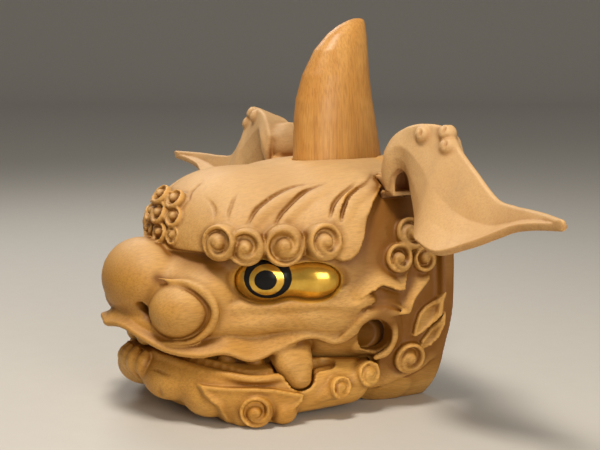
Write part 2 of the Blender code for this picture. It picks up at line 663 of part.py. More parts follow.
def eyeball(side, grow=0.0):
    """A long gilt eye with a flat back, for one side of the face."""
    bm = bmesh.new()
    bmesh.ops.create_uvsphere(bm, u_segments=16, v_segments=10, radius=1.0)
    turn = math.radians(EYE_TURN)
    ct, st = math.cos(turn), math.sin(turn)
    out = np.array([ct, st, 0.0])
    for vert in bm.verts:
        x, y, z = np.array(vert.co) * (np.array(EYE_RADII) + grow)
        place = np.array(EYE_CENTRE) + (ct * x - st * y, st * x + ct * y, z)
        vert.co = place * UNIT
    back = (np.array(EYE_CENTRE) - (1 + grow) * out) * UNIT
    geom = bm.verts[:] + bm.edges[:] + bm.faces[:]
    cut = bmesh.ops.bisect_plane(bm, geom=geom, plane_co=back, plane_no=-out, clear_outer=True)
    bmesh.ops.holes_fill(bm, edges=[e for e in cut["geom_cut"]
                                    if isinstance(e, bmesh.types.BMEdge)])
    for vert in bm.verts:
        vert.co.x *= side
    return mesh_object("eye", bm)


def horn_rings(bm, grow, heights, segments=20):
    """Elliptical rings of the horn at the heights given, from its foot up."""
    table = np.array(HORN_SECTIONS, float)
    rings = []
    for height in heights:
        y, wide, deep = (np.interp(height, table[:, 0], table[:, k]) for k in (1, 2, 3))
        ring = []
        for i in range(segments):
            a = 2 * math.pi * i / segments
            point = np.array([(wide + grow) * math.cos(a), y + (deep + grow) * math.sin(a),
                              CROWN_Z - drawn(SEAT_DEPTH) + height])
            ring.append(bm.verts.new(point * UNIT))
        rings.append(ring)
    for lower, upper in zip(rings[:-1], rings[1:]):
        for i in range(segments):
            j = (i + 1) % segments
            bm.faces.new((lower[i], lower[j], upper[j], upper[i]))
    bm.faces.new(rings[0][::-1])
    bm.faces.new(rings[-1])
    return mesh_object("horn", bm)


def material(obj, name, colour, rough, metal=0.0):
    look = bpy.data.materials.new(name)
    look.use_nodes = True
    shader = look.node_tree.nodes["Principled BSDF"]
    shader.inputs["Base Color"].default_value = (*colour, 1.0)
    shader.inputs["Roughness"].default_value = rough
    shader.inputs["Metallic"].default_value = metal
    obj.data.materials.append(look)


def mirrored(name, source):
    """The same piece for the mask's right side."""
    bm = bmesh.new()
    bm.from_mesh(source.data)
    for vert in bm.verts:
        vert.co.x = -vert.co.x
    return mesh_object(name, bm)


def cut_planes(obj, back=True):
    boolean(obj, floor_cut, "DIFFERENCE")
    if back:
        boolean(obj, back_cut, "DIFFERENCE")


for old in list(bpy.data.objects):
    bpy.data.objects.remove(old, do_unlink=True)
scene = bpy.context.scene
mask = bpy.data.collections.new("lion_dance_mask")
cutters = bpy.data.collections.new("cutters")
scene.collection.children.link(mask)
scene.collection.children.link(cutters)

floor_cut = cutter("floor_cut", box((-400, -400, -90), (400, 400, 0)))
back_cut = cutter("back_cut", box((-400, BACK_Y, -90), (400, 400, 400)))
gap = drawn(FIT_GAP)

head_block = carve_head(CARVING_STEP)
head = skin_mesh("head", head_block, both_sides=True)
decimate(head, TRIANGLES["head"])
cut_planes(head)
jaw = skin_mesh("jaw", carve_jaw(CARVING_STEP, head_block), both_sides=True)
decimate(jaw, TRIANGLES["jaw"])
cut_planes(jaw)

horn = horn_rings(bmesh.new(), 0.0, (0, 22, 42, 62, 76, 90, 103, 115, 125, 133, 139, 144))
horn.name = "horn"
seat = cutter("horn_seat", horn_rings(bmesh.new(), gap, (-gap, 0, 22, 42)))
boolean(head, seat, "DIFFERENCE")
for side, label in ((1, "left"), (-1, "right")):
    notch = rod((side * NOTCH_X, NOTCH_Y, CROWN_Z), (side * 60, NOTCH_Y, CROWN_Z), NOTCH_RADIUS)
    boolean(horn, cutter(f"notch_{label}", notch), "DIFFERENCE")

ear_left = skin_mesh("ear_left", carve_ear(EAR_STEP, head_block))
ear_right = mirrored("ear_right", ear_left)
for side, ear in ((1, ear_left), (-1, ear_right)):
    decimate(ear, TRIANGLES["ear"])
    low, high = np.array(TENON_LOW, float), np.array(TENON_HIGH, float)
    ends = np.sort([side * low[0], side * high[0]])
    tenon = box((ends[0], low[1], low[2]), (ends[1], high[1], high[2]))
    boolean(ear, cutter(f"tenon_{ear.name}", tenon), "UNION")
    room = box((ends[0] - gap, low[1] - gap, low[2] - gap), (ends[1] + gap, high[1] + gap, high[2]))
    boolean(head, cutter(f"mortise_{ear.name}", room), "DIFFERENCE")

eyes = []
for side, label in ((1, "left"), (-1, "right")):
    eye = eyeball(side)
    eye.name = f"eye_{label}"
    eyes.append(eye)
    boolean(head, cutter(f"socket_{label}", eyeball(side, gap)), "DIFFERENCE")
    reach = ARM_FACE_X + drawn(PIVOT_REACH)
    inner = ARM_FACE_X - drawn(ARM_THICKNESS) / 2
    pin = rod((side * inner, PIVOT_Y, PIVOT_Z), (side * reach, PIVOT_Y, PIVOT_Z),
              drawn(PIVOT_RADIUS))
    boolean(jaw, cutter(f"pivot_{label}", pin), "UNION")
    bore = rod((side * inner, PIVOT_Y, PIVOT_Z), (side * (reach + gap), PIVOT_Y, PIVOT_Z),
               drawn(PIVOT_RADIUS) + gap)
    boolean(head, cutter(f"bore_{label}", bore), "DIFFERENCE")

for obj in (head, jaw, horn, ear_left, ear_right, *eyes):
    mask.objects.link(obj)
material(head, "head_wood", (0.50, 0.30, 0.13), 0.45)
material(jaw, "jaw_wood", (0.48, 0.27, 0.11), 0.45)
material(horn, "horn_wood", (0.52, 0.27, 0.09), 0.40)
material(ear_left, "ear_left_wood", (0.60, 0.38, 0.18), 0.45)
material(ear_right, "ear_right_wood", (0.60, 0.38, 0.18), 0.45)
for eye in eyes:
    material(eye, f"{eye.name}_gilt", (0.80, 0.55, 0.12), 0.25, 1.0)

# Stand the whole on the ground plane with its box centred on the upright axis
depsgraph = bpy.context.evaluated_depsgraph_get()
corners = []
for obj in mask.objects:
    corners += [v.co[:] for v in obj.evaluated_get(depsgraph).data.vertices]
corners = np.array(corners)
shift = -(corners.min(0) + corners.max(0)) / 2
shift[2] = -corners[:, 2].min()
for obj in list(mask.objects) + list(cutters.objects):
    obj.location = shift
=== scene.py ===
"""Visual model of the lion dance mask: the carving at fine detail, its wood and gilding, and the studio.

The face looks along -Y, the mask's own left is +X and up is +Z. The carving is drawn on a head 303
units long, as in the part, and each piece takes the place of the CAD node that it stands for.
"""
import math

import bpy
import numpy as np
from mathutils import Matrix, Vector


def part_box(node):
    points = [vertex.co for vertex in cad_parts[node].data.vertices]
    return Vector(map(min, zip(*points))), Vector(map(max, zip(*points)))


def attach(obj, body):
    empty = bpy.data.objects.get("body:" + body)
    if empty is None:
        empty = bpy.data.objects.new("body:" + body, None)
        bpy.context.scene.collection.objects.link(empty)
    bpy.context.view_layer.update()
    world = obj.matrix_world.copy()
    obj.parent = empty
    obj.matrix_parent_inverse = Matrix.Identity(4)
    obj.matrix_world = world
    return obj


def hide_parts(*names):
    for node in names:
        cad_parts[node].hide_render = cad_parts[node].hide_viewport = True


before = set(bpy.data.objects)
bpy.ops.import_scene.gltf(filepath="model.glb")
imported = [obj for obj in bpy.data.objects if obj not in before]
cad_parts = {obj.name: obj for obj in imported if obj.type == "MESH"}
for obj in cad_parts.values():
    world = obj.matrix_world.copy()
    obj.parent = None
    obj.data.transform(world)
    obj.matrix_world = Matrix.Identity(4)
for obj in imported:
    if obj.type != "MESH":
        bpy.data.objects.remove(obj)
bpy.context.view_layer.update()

scene = bpy.context.scene
UNIT = 0.001               # metres for one unit of the drawing
FAR = 60.0

# The drawing, in units
WALL, LIP_EDGE, EAR_THICKNESS = 13, 3.6, 6.8
FIT_GAP, JAW_GAP, CARVED_GAP = 0.35, 3, 2.5
PIVOT_RADIUS, PIVOT_REACH, ARM_THICKNESS = 7, 14, 12
SEAT_DEPTH, JAW_OPEN = 5, 22
CARVE_LOW, CARVE_HIGH = (0, -175, -5), (165, 157, 262)
BACK_Y = 152               # plane of the open back
PIVOT_Y, PIVOT_Z = 105, 12
ARM_FACE_X = 74            # outer face of the jaw's arm
CROWN_Z = 238              # height of the crown under the horn
CARVING_STEP, EAR_STEP = 1.5, 1.1
SEAM = [(54, 66), (69, 62), (80, 52), (81, 38), (75, 24), (68, 10), (67, -30)]      # cheek edge as (y, z)
BROW_EDGE = [(-200, 163), (20, 158), (30, 152), (38, 153), (46, 160), (54, 175), (61, 190),
             (72, 203), (88, 214), (110, 224), (130, 232), (152, 236), (180, 240), (180, 400),
             (-200, 400)]
EYE_CENTRE, EYE_RADII, EYE_TURN = (89, -6, 132), (13, 52, 21), -29
HORN_SECTIONS = [          # height, middle y, half width in x, half depth in y
    (0, 103.5, 28, 51), (42, 100, 28, 46), (62, 99, 27, 43), (87, 101, 24, 37.5),
    (112, 107, 19, 30), (128, 114, 14, 22), (137, 120, 10, 15), (142, 125, 6, 9), (144, 127, 3, 4)]
EAR_FRONT = [(116, 89, 214), (122, 87, 229), (130, 92.5, 238), (139, 97.5, 230), (150, 94, 214),
             (169, 85, 193), (186, 72, 182.5), (200, 65, 177), (225, 66, 171), (258, 75, 182),
             (283, 82, 193), (302, 86, 201), (327, 86, 206), (361, 83, 210)]
EAR_CREST = [(116, 87, 250), (125, 89, 262), (137, 92.5, 270), (152, 95, 274.5), (168, 100, 275.5),
             (182, 105, 273), (192, 104.5, 266), (203, 105, 254.5), (222, 108, 237), (250, 109.5, 216),
             (278, 107, 212.5), (303, 101, 213), (328, 96, 213), (361, 84, 213)]
EAR_REAR = [(116, 136, 234), (124, 139, 237), (134, 140, 239), (145, 139, 240), (158, 134, 241),
            (172, 126, 240), (186, 118, 238), (199, 112, 232), (222, 112, 221), (254, 110, 212),
            (280, 107, 210), (303, 102, 211), (328, 97, 211), (361, 85, 211)]
TENON_LOW, TENON_HIGH = (88, 92, 203), (100, 118, 228)
EYE_DOMES = [(-22, 27, 19.5, 12.5), (22, 26.5, 17.5, 11.5)]    # place along the eye, half sizes
EYE_POWER = 2.2            # how square the eye's outline is
PUPIL = np.array([86, -28, 134], float)
# The first colour is painted light on upward-facing surfaces
PAINTED_TOP_LIGHT_WOOD, SMUDGE, GILT = (0.64, 0.46, 0.27), (0.26, 0.20, 0.13), (0.75, 0.46, 0.08)


def smooth_min(a, b, blend):
    if blend <= 0:
        return np.minimum(a, b)
    near = np.maximum(blend - np.abs(a - b), 0) / blend
    return np.minimum(a, b) - near * near * blend * 0.25


def smooth_max(a, b, blend):
    return -smooth_min(-a, -b, blend)


def brick(x, y, z, low, high):
    """The field of a box with sharp edges between two corners."""
    return np.maximum(np.maximum(np.maximum(low[0] - x, x - high[0]),
                                 np.maximum(low[1] - y, y - high[1])),
                      np.maximum(low[2] - z, z - high[2]))


class Form:
    """A shape given by its distance function and the box around it."""

    def __init__(self, distance, low, high):
        self.distance, self.low, self.high = distance, np.array(low, float), np.array(high, float)


def ball(centre, radii, power=2.0, turn=0.0):
    """An ellipsoid, squarer as the power rises, turned about the upright through its centre."""
    c = np.array(centre, float)
    r = np.array([radii] * 3 if np.isscalar(radii) else radii, float)
    ct, st = math.cos(math.radians(turn)), math.sin(math.radians(turn))

    def distance(x, y, z):
        dx, dy = x - c[0], y - c[1]
        parts = [np.abs(ct * dx + st * dy) / r[0], np.abs(ct * dy - st * dx) / r[1],
                 np.abs(z - c[2]) / r[2]]
        total = sum(p ** power for p in parts) + 1e-9
        slope = np.sqrt(sum((p ** (power - 1) / q) ** 2 for p, q in zip(parts, r))) + 1e-9
        return ((total ** (1 / power) - 1) * total ** (1 - 1 / power) / slope).astype(np.float32)

    wide = np.array([math.hypot(ct * r[0], st * r[1]), math.hypot(st * r[0], ct * r[1]), r[2]])
    return Form(distance, c - wide, c + wide)


def cord(points, radii, flat_start=False):
    """A round rod through points, of changing radius, its first end round or cut square."""
    p = np.array(points, float)
    r = np.broadcast_to(np.array(radii, float), (len(p),))
    ahead = (p[0] - p[1]) / (np.linalg.norm(p[0] - p[1]) + 1e-9)

    def distance(x, y, z):
        best = None
        for a, b, ra, rb in zip(p[:-1], p[1:], r[:-1], r[1:]):
            d = b - a
            along = ((x - a[0]) * d[0] + (y - a[1]) * d[1] + (z - a[2]) * d[2]) / (d @ d + 1e-12)
            t = np.clip(along, 0, 1)
            q = np.sqrt((x - a[0] - t * d[0]) ** 2 + (y - a[1] - t * d[1]) ** 2
                        + (z - a[2] - t * d[2]) ** 2) - (ra + (rb - ra) * t)
            best = q if best is None else np.minimum(best, q)
        if flat_start:
            end = (x - p[0][0]) * ahead[0] + (y - p[0][1]) * ahead[1] + (z - p[0][2]) * ahead[2]
            best = smooth_max(best, end, 1.0)
        return best.astype(np.float32)

    return Form(distance, (p - r[:, None]).min(0), (p + r[:, None]).max(0))


def smooth_line(points, count):
    """Points spread along a smooth line through the ones given."""
    p = np.array(points, float)
    p = np.vstack([2 * p[0] - p[1], p, 2 * p[-1] - p[-2]])
    line = []
    for s in np.linspace(0, len(p) - 3 - 1e-9, count):
        i, t = int(s), s - int(s)
        a, b, c, d = p[i:i + 4]
        line.append(0.5 * (2 * b + (c - a) * t + (2 * a - 5 * b + 4 * c - d) * t * t
                           + (3 * b - a - 3 * c + d) * t ** 3))
    return np.array(line)


def spread(values, count):
    """Values stretched evenly over a count of places."""
    return np.interp(np.linspace(0, 1, count), np.linspace(0, 1, len(values)), values)


def tube(route, radii, count):
    """A rod along a smooth line, its radii stretched evenly over the line."""
    return cord(smooth_line(route, count), spread(radii, count))


class Block:
    """A box of field samples, negative inside the wood, into which forms are laid and cut."""

    def __init__(self, low, high, step, field=None):
        self.low, self.step = np.array(low, float), step
        self.size = np.ceil((np.array(high, float) - self.low) / step).astype(int) + 1
        self.axes = [(self.low[i] + step * np.arange(self.size[i])).astype(np.float32)
                     for i in range(3)]
        self.field = np.full(self.size, FAR, np.float32) if field is None else field

    def copy(self):
        twin = Block(self.low, self.low, self.step, self.field.copy())
        twin.size, twin.axes = self.size, self.axes
        return twin

    def window(self, form, margin):
        low = np.floor((form.low - margin - self.low) / self.step).astype(int)
        high = np.ceil((form.high + margin - self.low) / self.step).astype(int) + 1
        return tuple(slice(max(a, 0), max(min(b, n), 0)) for a, b, n in zip(low, high, self.size))

    def places(self, window=(slice(None),) * 3):
        x, y, z = (axis[s] for axis, s in zip(self.axes, window))
        return x[:, None, None], y[None, :, None], z[None, None, :]

    def add(self, form, blend=0.0, reach=FAR):
        w = self.window(form, reach)
        self.field[w] = smooth_min(self.field[w], form.distance(*self.places(w)), blend)

    def cut(self, form, blend=0.0):
        w = self.window(form, blend + self.step)
        self.field[w] = smooth_max(self.field[w], -form.distance(*self.places(w)), blend)

    def value(self, points):
        """The field at points, between the samples."""
        g = np.clip((np.atleast_2d(points) - self.low) / self.step, 0, self.size - 1.001)
        i = g.astype(int)
        t = g - i
        total = 0
        for corner in CORNERS:
            weight = np.prod([t[:, k] if corner[k] else 1 - t[:, k] for k in range(3)], axis=0)
            total = total + weight * self.field[tuple((i + corner).T)]
        return total

    def slope(self, points):
        """Unit direction out of the wood at points."""
        points = np.atleast_2d(points)
        g = np.stack([self.value(points + d) - self.value(points - d)
                      for d in np.eye(3) * self.step], 1)
        return g / (np.linalg.norm(g, axis=1, keepdims=True) + 1e-9)

    def side(self, y, z):
        """The outermost point of the left side at a height z and a depth y."""
        x = np.arange(self.axes[0][-1], 0, -self.step * 0.5)
        v = self.value(np.stack([x, 0 * x + y, 0 * x + z], 1))
        i = np.nonzero(v < 0)[0]
        if len(i) == 0 or i[0] == 0:
            return None
        i = i[0]
        part = v[i - 1] / (v[i - 1] - v[i])
        return np.array([x[i - 1] + part * (x[i] - x[i - 1]), y, z])


CORNERS = [np.array((i, j, k)) for i in (0, 1) for j in (0, 1) for k in (0, 1)]


def outline_distance(outline, u, v):
    """Signed distance in a plane to a closed outline, negative inside."""
    p = np.array(outline, float)
    best = np.full(np.broadcast(u, v).shape, 1e9)
    inside = np.zeros(best.shape, bool)
    for a, b in zip(p, np.roll(p, -1, 0)):
        e = b - a
        t = np.clip(((u - a[0]) * e[0] + (v - a[1]) * e[1]) / (e @ e), 0, 1)
        best = np.minimum(best, (u - a[0] - t * e[0]) ** 2 + (v - a[1] - t * e[1]) ** 2)
        if a[1] != b[1]:
            crosses = ((a[1] <= v) & (v < b[1])) | ((b[1] <= v) & (v < a[1]))
            inside ^= crosses & (u < a[0] + (v - a[1]) * e[0] / e[1])
    best = np.sqrt(best)
    return np.where(inside, -best, best).astype(np.float32)


def side_outline(block, outline):
    """The outline, drawn in y and z, as a field that runs straight through in x."""
    _, y, z = block.places()
    return outline_distance(outline, y[0], z[0])[None]


def scroll(block, centre, out, radius, turns=1.8, start=0.0, hand=1, rise=6.0, groove=5.0,
           depth=14.0, blend=3.0):
    """A rolled lock of hair: a round boss whose end carries a spiral ridge round a knob."""
    c, w = np.array(centre, float), np.array(out, float).ravel()
    w = w / np.linalg.norm(w)
    u = np.cross((0, 0, 1), w)
    u = u / np.linalg.norm(u)
    v = np.cross(w, u)

    def distance(x, y, z):
        a, e, h = ((x - c[0]) * k[0] + (y - c[1]) * k[1] + (z - c[2]) * k[2] for k in (u, v, w))
        rho = np.sqrt(a * a + e * e)
        winding = (rho / radius) ** 1.3 * turns - np.arctan2(e, a) * hand / (2 * np.pi) + start
        ridge = (0.5 + 0.5 * np.cos(2 * np.pi * winding)) ** 1.1
        sunk = np.clip((0.88 - rho / radius) / 0.2, 0, 1) * np.clip((rho / radius - 0.2) / 0.22, 0, 1)
        knob = 0.12 * radius * np.exp(-(rho / (0.36 * radius)) ** 2)
        top = rise - groove * (1 - ridge) * sunk + knob - 0.1 * radius * (rho / radius) ** 4
        return smooth_max(smooth_max(0.9 * (h - top), rho - radius, 0.2 * radius), -h - depth, 1.0)

    wide = (np.abs(u) + np.abs(v)) * (radius + 2) + np.abs(w) * max(rise + 1, depth)
    block.add(Form(distance, c - wide, c + wide), blend, blend + 2 * block.step)


def bud(block, centre, radius):
    """A small round swelling with a comma cut in it."""
    c, w = np.array(centre, float), block.slope(centre)
    w = w.ravel() / np.linalg.norm(w)
    u = np.cross((0, 0, 1), w)
    u = u / np.linalg.norm(u)
    v = np.cross(w, u)
    block.add(ball(c - 0.45 * radius * w, radius), 2)
    comma = [c + radius * (0.55 * w + (0.1 + 0.45 * math.cos(a) * (1 - a / 9)) * -u + 0.45 * math.sin(a) * v)
             for a in np.linspace(0.4, 4.4, 12)]
    block.cut(cord(comma, spread([0.5, 1.5, 1.8, 0.8], 12)), 0.6)


def trail(skin, route, count, lift=0.0):
    """A smooth line drawn in y and z and carried onto the side of a carved skin."""
    points = [skin.side(y, z) for y, z in smooth_line(route, count)]
    points = np.array([p for p in points if p is not None])
    return points + lift * skin.slope(points)


def strand(block, skin, route, radii, lift=0.0, blend=3.0, cut=False, count=26):
    """A rounded lock laid along the side, or a groove cut along it."""
    points = trail(skin, route, count, lift)
    form = cord(points, spread(radii, len(points)))
    if cut:
        block.cut(form, blend)
    else:
        block.add(form, blend, blend + 2 * block.step)


def ledge(block, core, line, height, width, depth=9):
    """A ribbon that rises out of the core's skin to a crisp edge, on the left of a line in y and z."""
    _, y, z = core.places()
    y, z = y[0], z[0]
    points = smooth_line(line, 30)
    best = np.full(np.broadcast(y, z).shape, 1e9)
    tall, away = np.zeros(best.shape), np.zeros(best.shape)
    for i, (a, b) in enumerate(zip(points[:-1], points[1:])):
        e = b - a
        t = np.clip(((y - a[0]) * e[0] + (z - a[1]) * e[1]) / (e @ e), 0, 1)
        dy, dz = y - a[0] - t * e[0], z - a[1] - t * e[1]
        gap = np.hypot(dy, dz)
        nearer = gap < best
        best = np.where(nearer, gap, best)
        tall = np.where(nearer, (i + t) / (len(points) - 1), tall)
        away = np.where(nearer, np.where(e[0] * dz - e[1] * dy > 0, -gap, gap), away)
    rise = height * np.sin(np.pi * np.clip(tall, 0.02, 0.98)) ** 0.35 * np.exp(-(best / width) ** 2) - 0.4
    ribbon = smooth_max(core.field - rise[None].astype(np.float32), away[None].astype(np.float32), 1.0)
    ribbon = np.maximum(ribbon, -core.field - depth)
    block.field = np.minimum(block.field, np.where(rise[None] > 0, ribbon, FAR))


def petal(block, core, outline, height, depth=9):
    """A leaf of flame with crisp edges all round, dished between them, drawn in y and z."""
    away = side_outline(core, outline)
    rise = height * (0.55 + 0.45 * np.exp(-(away / 3.5) ** 2))
    leaf = np.maximum(smooth_max(core.field - rise, away, 1.0), -core.field - depth)
    block.field = smooth_min(block.field, leaf, 1.5)


def settle(field):
    """Fill the places where wood would touch itself only along an edge or at a point."""
    for _ in range(12):
        inside = field < 0
        bad = np.zeros(field.shape, bool)
        for axis in range(3):
            i, mark = np.moveaxis(inside, axis, 0), np.moveaxis(bad, axis, 0)
            a, b, c, d = i[:, :-1, :-1], i[:, 1:, :-1], i[:, :-1, 1:], i[:, 1:, 1:]
            cross = (a == d) & (b == c) & (a != b)
            for u in (slice(None, -1), slice(1, None)):
                for v in (slice(None, -1), slice(1, None)):
                    mark[:, u, v] |= cross
        size = np.array(field.shape) - 1
        eight = [inside[c[0]:size[0] + c[0], c[1]:size[1] + c[1], c[2]:size[2] + c[2]]
                 for c in CORNERS]
        count = sum(e.astype(np.int8) for e in eight)
        for i in range(4):
            apart = (eight[i] == eight[7 - i]) & (((count == 2) & eight[i])
                                                  | ((count == 6) & ~eight[i]))
            for c in CORNERS:
                bad[c[0]:size[0] + c[0], c[1]:size[1] + c[1], c[2]:size[2] + c[2]] |= apart
        if not (bad & ~inside).any():
            break
        field[bad & ~inside] = -0.1


def skin_mesh(name, block, both_sides=False):
    """The surface where the field changes sign, as an object in metres."""
    field, low = block.field, block.low.copy()
    if both_sides:
        field = np.concatenate([field[::-1][:-1], field], 0)
        low[0] = -(low[0] + block.step * (block.size[0] - 1))
    field = np.pad(field, 1, constant_values=FAR)
    settle(field)
    low = low - block.step
    size = np.array(field.shape) - 1
    corners = [field[c[0]:size[0] + c[0], c[1]:size[1] + c[1], c[2]:size[2] + c[2]]
               for c in CORNERS]
    below = sum((c < 0).astype(np.int8) for c in corners)
    active = (below > 0) & (below < 8)
    cells = np.argwhere(active)
    number = np.full(size, -1, np.int64)
    number[active] = np.arange(len(cells))
    values = [c[active] for c in corners]
    total, hits = np.zeros((len(cells), 3)), np.zeros(len(cells))
    for i, a in enumerate(CORNERS):
        for axis in range(3):
            if a[axis]:
                continue
            j = i + (4, 2, 1)[axis]
            cross = (values[i] < 0) != (values[j] < 0)
            step = values[i][cross] / (values[i][cross] - values[j][cross])
            total[cross] += a
            total[cross, axis] += step
            hits[cross] += 1
    vertices = low + (cells + total / hits[:, None]) * block.step
    faces = []
    for axis in range(3):
        u, v = (axis + 1) % 3, (axis + 2) % 3
        span = [slice(1, n) for n in size]
        span[axis] = slice(0, size[axis])
        here = field[tuple(span)]
        span[axis] = slice(1, size[axis] + 1)
        there = field[tuple(span)]
        for outward in (True, False):
            at = np.argwhere((here < 0) & (there >= 0) if outward else (here >= 0) & (there < 0))
            start = [1, 1, 1]
            start[axis] = 0
            at = at + start
            ring = []
            for du, dv in ((1, 1), (0, 1), (0, 0), (1, 0)):
                cell = at.copy()
                cell[:, u] -= du
                cell[:, v] -= dv
                ring.append(number[tuple(cell.T)])
            faces.append(np.stack(ring if outward else ring[::-1], 1))
    mesh = bpy.data.meshes.new(name)
    mesh.from_pydata(vertices.tolist(), [], np.concatenate(faces).tolist())
    return bpy.data.objects.new(name, mesh)


def face_core(step):
    """The rounded masses under the carving: skull, forehead, muzzle and cheeks."""
    core = Block(CARVE_LOW, CARVE_HIGH, step)
    core.add(ball((0, 100, 122), (124, 148, 82), 2.8))
    core.add(ball((0, 112, 128), (127, 140, 100), 2.8), 8)
    core.add(ball((0, -25, 160), (84, 66, 60)), 10)
    core.add(ball((0, -74, 118), (68, 66, 44)), 18)
    core.add(cord([(18, -126, 98), (50, -104, 94), (71, -78, 94), (82, -46, 94), (92, -13, 97),
                   (101, 15, 98), (108, 45, 98), (116, 80, 100)],
                  [12, 13, 14, 14, 14, 15, 16, 18]), 14)
    return core


def jowl_core(step):
    jowl = Block(CARVE_LOW, CARVE_HIGH, step)
    jowl.add(ball((0, 132, 85), (127, 112, 108), 2.4))
    return jowl


def eye_axes(x, y, z):
    """Places measured from the middle of the left eye: along it, up, and out of its socket."""
    ct, st = math.cos(math.radians(EYE_TURN)), math.sin(math.radians(EYE_TURN))
    dx, dy = x - EYE_CENTRE[0], y - EYE_CENTRE[1]
    return ct * dy - st * dx, z - EYE_CENTRE[2], ct * dx + st * dy


def eye_domes(x, y, z, grow, deep):
    """The eye's two swellings, the iris in front and a longer one behind it."""
    along, up, out = eye_axes(x, y, z)
    halves = []
    for middle, *radii in EYE_DOMES:
        r = np.array(radii) + grow
        shape = np.abs((along - middle) / r[0]) ** EYE_POWER + np.abs(up / r[1]) ** EYE_POWER
        if deep:
            shape = shape + np.abs(out / r[2]) ** EYE_POWER
        halves.append((shape ** (1 / EYE_POWER) - 1) * (r[2] if deep else r[1]))
    return smooth_min(halves[0], halves[1], 7 if deep else 9)


def eye_outline(x, y, z, grow):
    return eye_domes(x, y, z, grow, False)


def eye_field(x, y, z, grow):
    """The gilt lens, flat behind."""
    return np.maximum(eye_domes(x, y, z, grow, True), -eye_axes(x, y, z)[2] - 1 - grow)


def carve_muzzle(head):
    head.add(ball((58, -74, 118), (27, 34, 28)), 14)
    head.add(ball((0, -115, 130), (45, 38, 39)), 4)
    head.add(ball((56, -99, 107), (28, 32, 28)), 4)
    arc = [(48, -120, 138), (58, -111, 136), (68, -100, 135), (80, -88, 127), (87, -81, 111),
           (85, -85, 95), (78, -97, 83), (66, -114, 79), (52, -130, 80)]
    head.add(tube(arc, [0.5, 1.6, 2.8, 3.5, 3.7, 3.5, 3.2, 2.6, 1.2], 40), 5, 12)
    crease = [(50, -124, 135), (60, -116, 134), (69, -106, 132), (79, -94, 123), (84, -87, 110),
              (81, -91, 95), (73, -104, 85), (60, -119, 82)]
    head.cut(tube(crease, [0.3, 0.8, 1.1, 1.3, 1.4, 1.3, 1.1, 0.4], 50), 2)
    inward = np.array([-0.25, 0.95, 0.15])
    for t in np.linspace(0, 1, 7):
        p = np.array([35, -133, 110]) * (1 - t) + np.array([46, -131, 99]) * t
        head.cut(cord([p - 8 * inward, p + 16 * inward], [5.0, 3.4]), 0.6)


def carve_lip(head):
    """A broad sheet from under the nose and the eye that flares out to a thin, waving edge."""
    top = [(0, -141, 96), (20, -136, 93), (38, -126, 90), (54, -110, 90), (68, -88, 98),
           (78, -64, 107), (87, -40, 110), (97, -16, 110), (106, 4, 111), (112, 22, 111),
           (117, 38, 109), (121, 50, 109), (124, 60, 112)]
    edge = [(0, -154, 89), (24, -148, 92), (46, -138, 84), (66, -120, 72.5), (83, -98, 68.5),
            (93, -74, 70.5), (99, -50, 62), (103, -25, 69.5), (109, 0, 79), (113, 18, 78),
            (117, 34, 73), (124, 48, 82), (129, 57, 92)]
    dip = spread([0, 3, 5, 6, 7, 8, 8, 7, 6, 5, 3, 1], 240)
    for p, q, pull in zip(smooth_line(top, 240), smooth_line(edge, 240), dip):
        away = np.array([p[0], 0.8 * p[1] - 20, 0.0])
        middle = 0.38 * p + 0.62 * q - away / np.linalg.norm(away) * pull
        head.add(cord([q, middle, p], [LIP_EDGE / 2, 3.4, 8], flat_start=True), 2, 8)


def carve_brow(head, skin):
    scrolls = [((-70, 171), 17, 0.1, -0.4), ((-51, 167.5), 17.5, 0.3, -0.15),
               ((-19, 168), 19.5, 0.5, 0.08), ((14, 171), 17.5, 0.2, 0.4)]
    for (y, z), radius, start, back in scrolls:
        p = skin.side(y, z)
        scroll(head, p, skin.slope(p) + np.array([0, back, -0.15]), radius, 1.0, start, 1, 9, 6.5, 24, 2)
    lines = [[(36, 221), (10.8, 218), (-12.5, 211), (-35, 199.6), (-47, 187)],
             [(46, 222), (28, 218), (9.4, 210.9), (-13, 197), (-23, 187)],
             [(72, 223), (60, 218), (44, 211), (32, 203), (24, 192)],
             [(100, 230), (80, 221), (62, 215), (48, 208), (38, 198), (33, 189)]]
    for line in lines:
        strand(head, skin, [(y + 2, z - 4) for y, z in line], [1, 6, 7, 7, 4], -4.6, 3, count=50)
    for line in lines:
        strand(head, skin, line, [0.3, 1.7, 2.1, 2.1, 1], 0.2, 0.8, cut=True, count=60)
    strand(head, skin, [(82, 213), (68, 200), (56, 184), (47, 170)], [3, 9, 12, 8], 10.5, 2.5, cut=True)
    for line in [[(-56, 224), (-66, 218), (-75, 211), (-80, 204)], [(-69, 210), (-67, 201), (-71, 190)],
                 [(-40, 216), (-50, 208), (-58, 198), (-62, 189)]]:
        strand(head, skin, line, [0.3, 1.5, 1.6, 0.5], 0.2, 0.8, cut=True)
    for centre, radius in [((0, -92, 206), 11), ((17, -86, 203), 11), ((25, -90, 188), 10),
                           ((7, -97, 190), 11), ((11, -98, 173), 10), ((28, -92, 172), 9)]:
        scroll(head, centre, skin.slope(centre), radius, 0.9, radius / 10, 1, 8, 6, 14, 1.5)


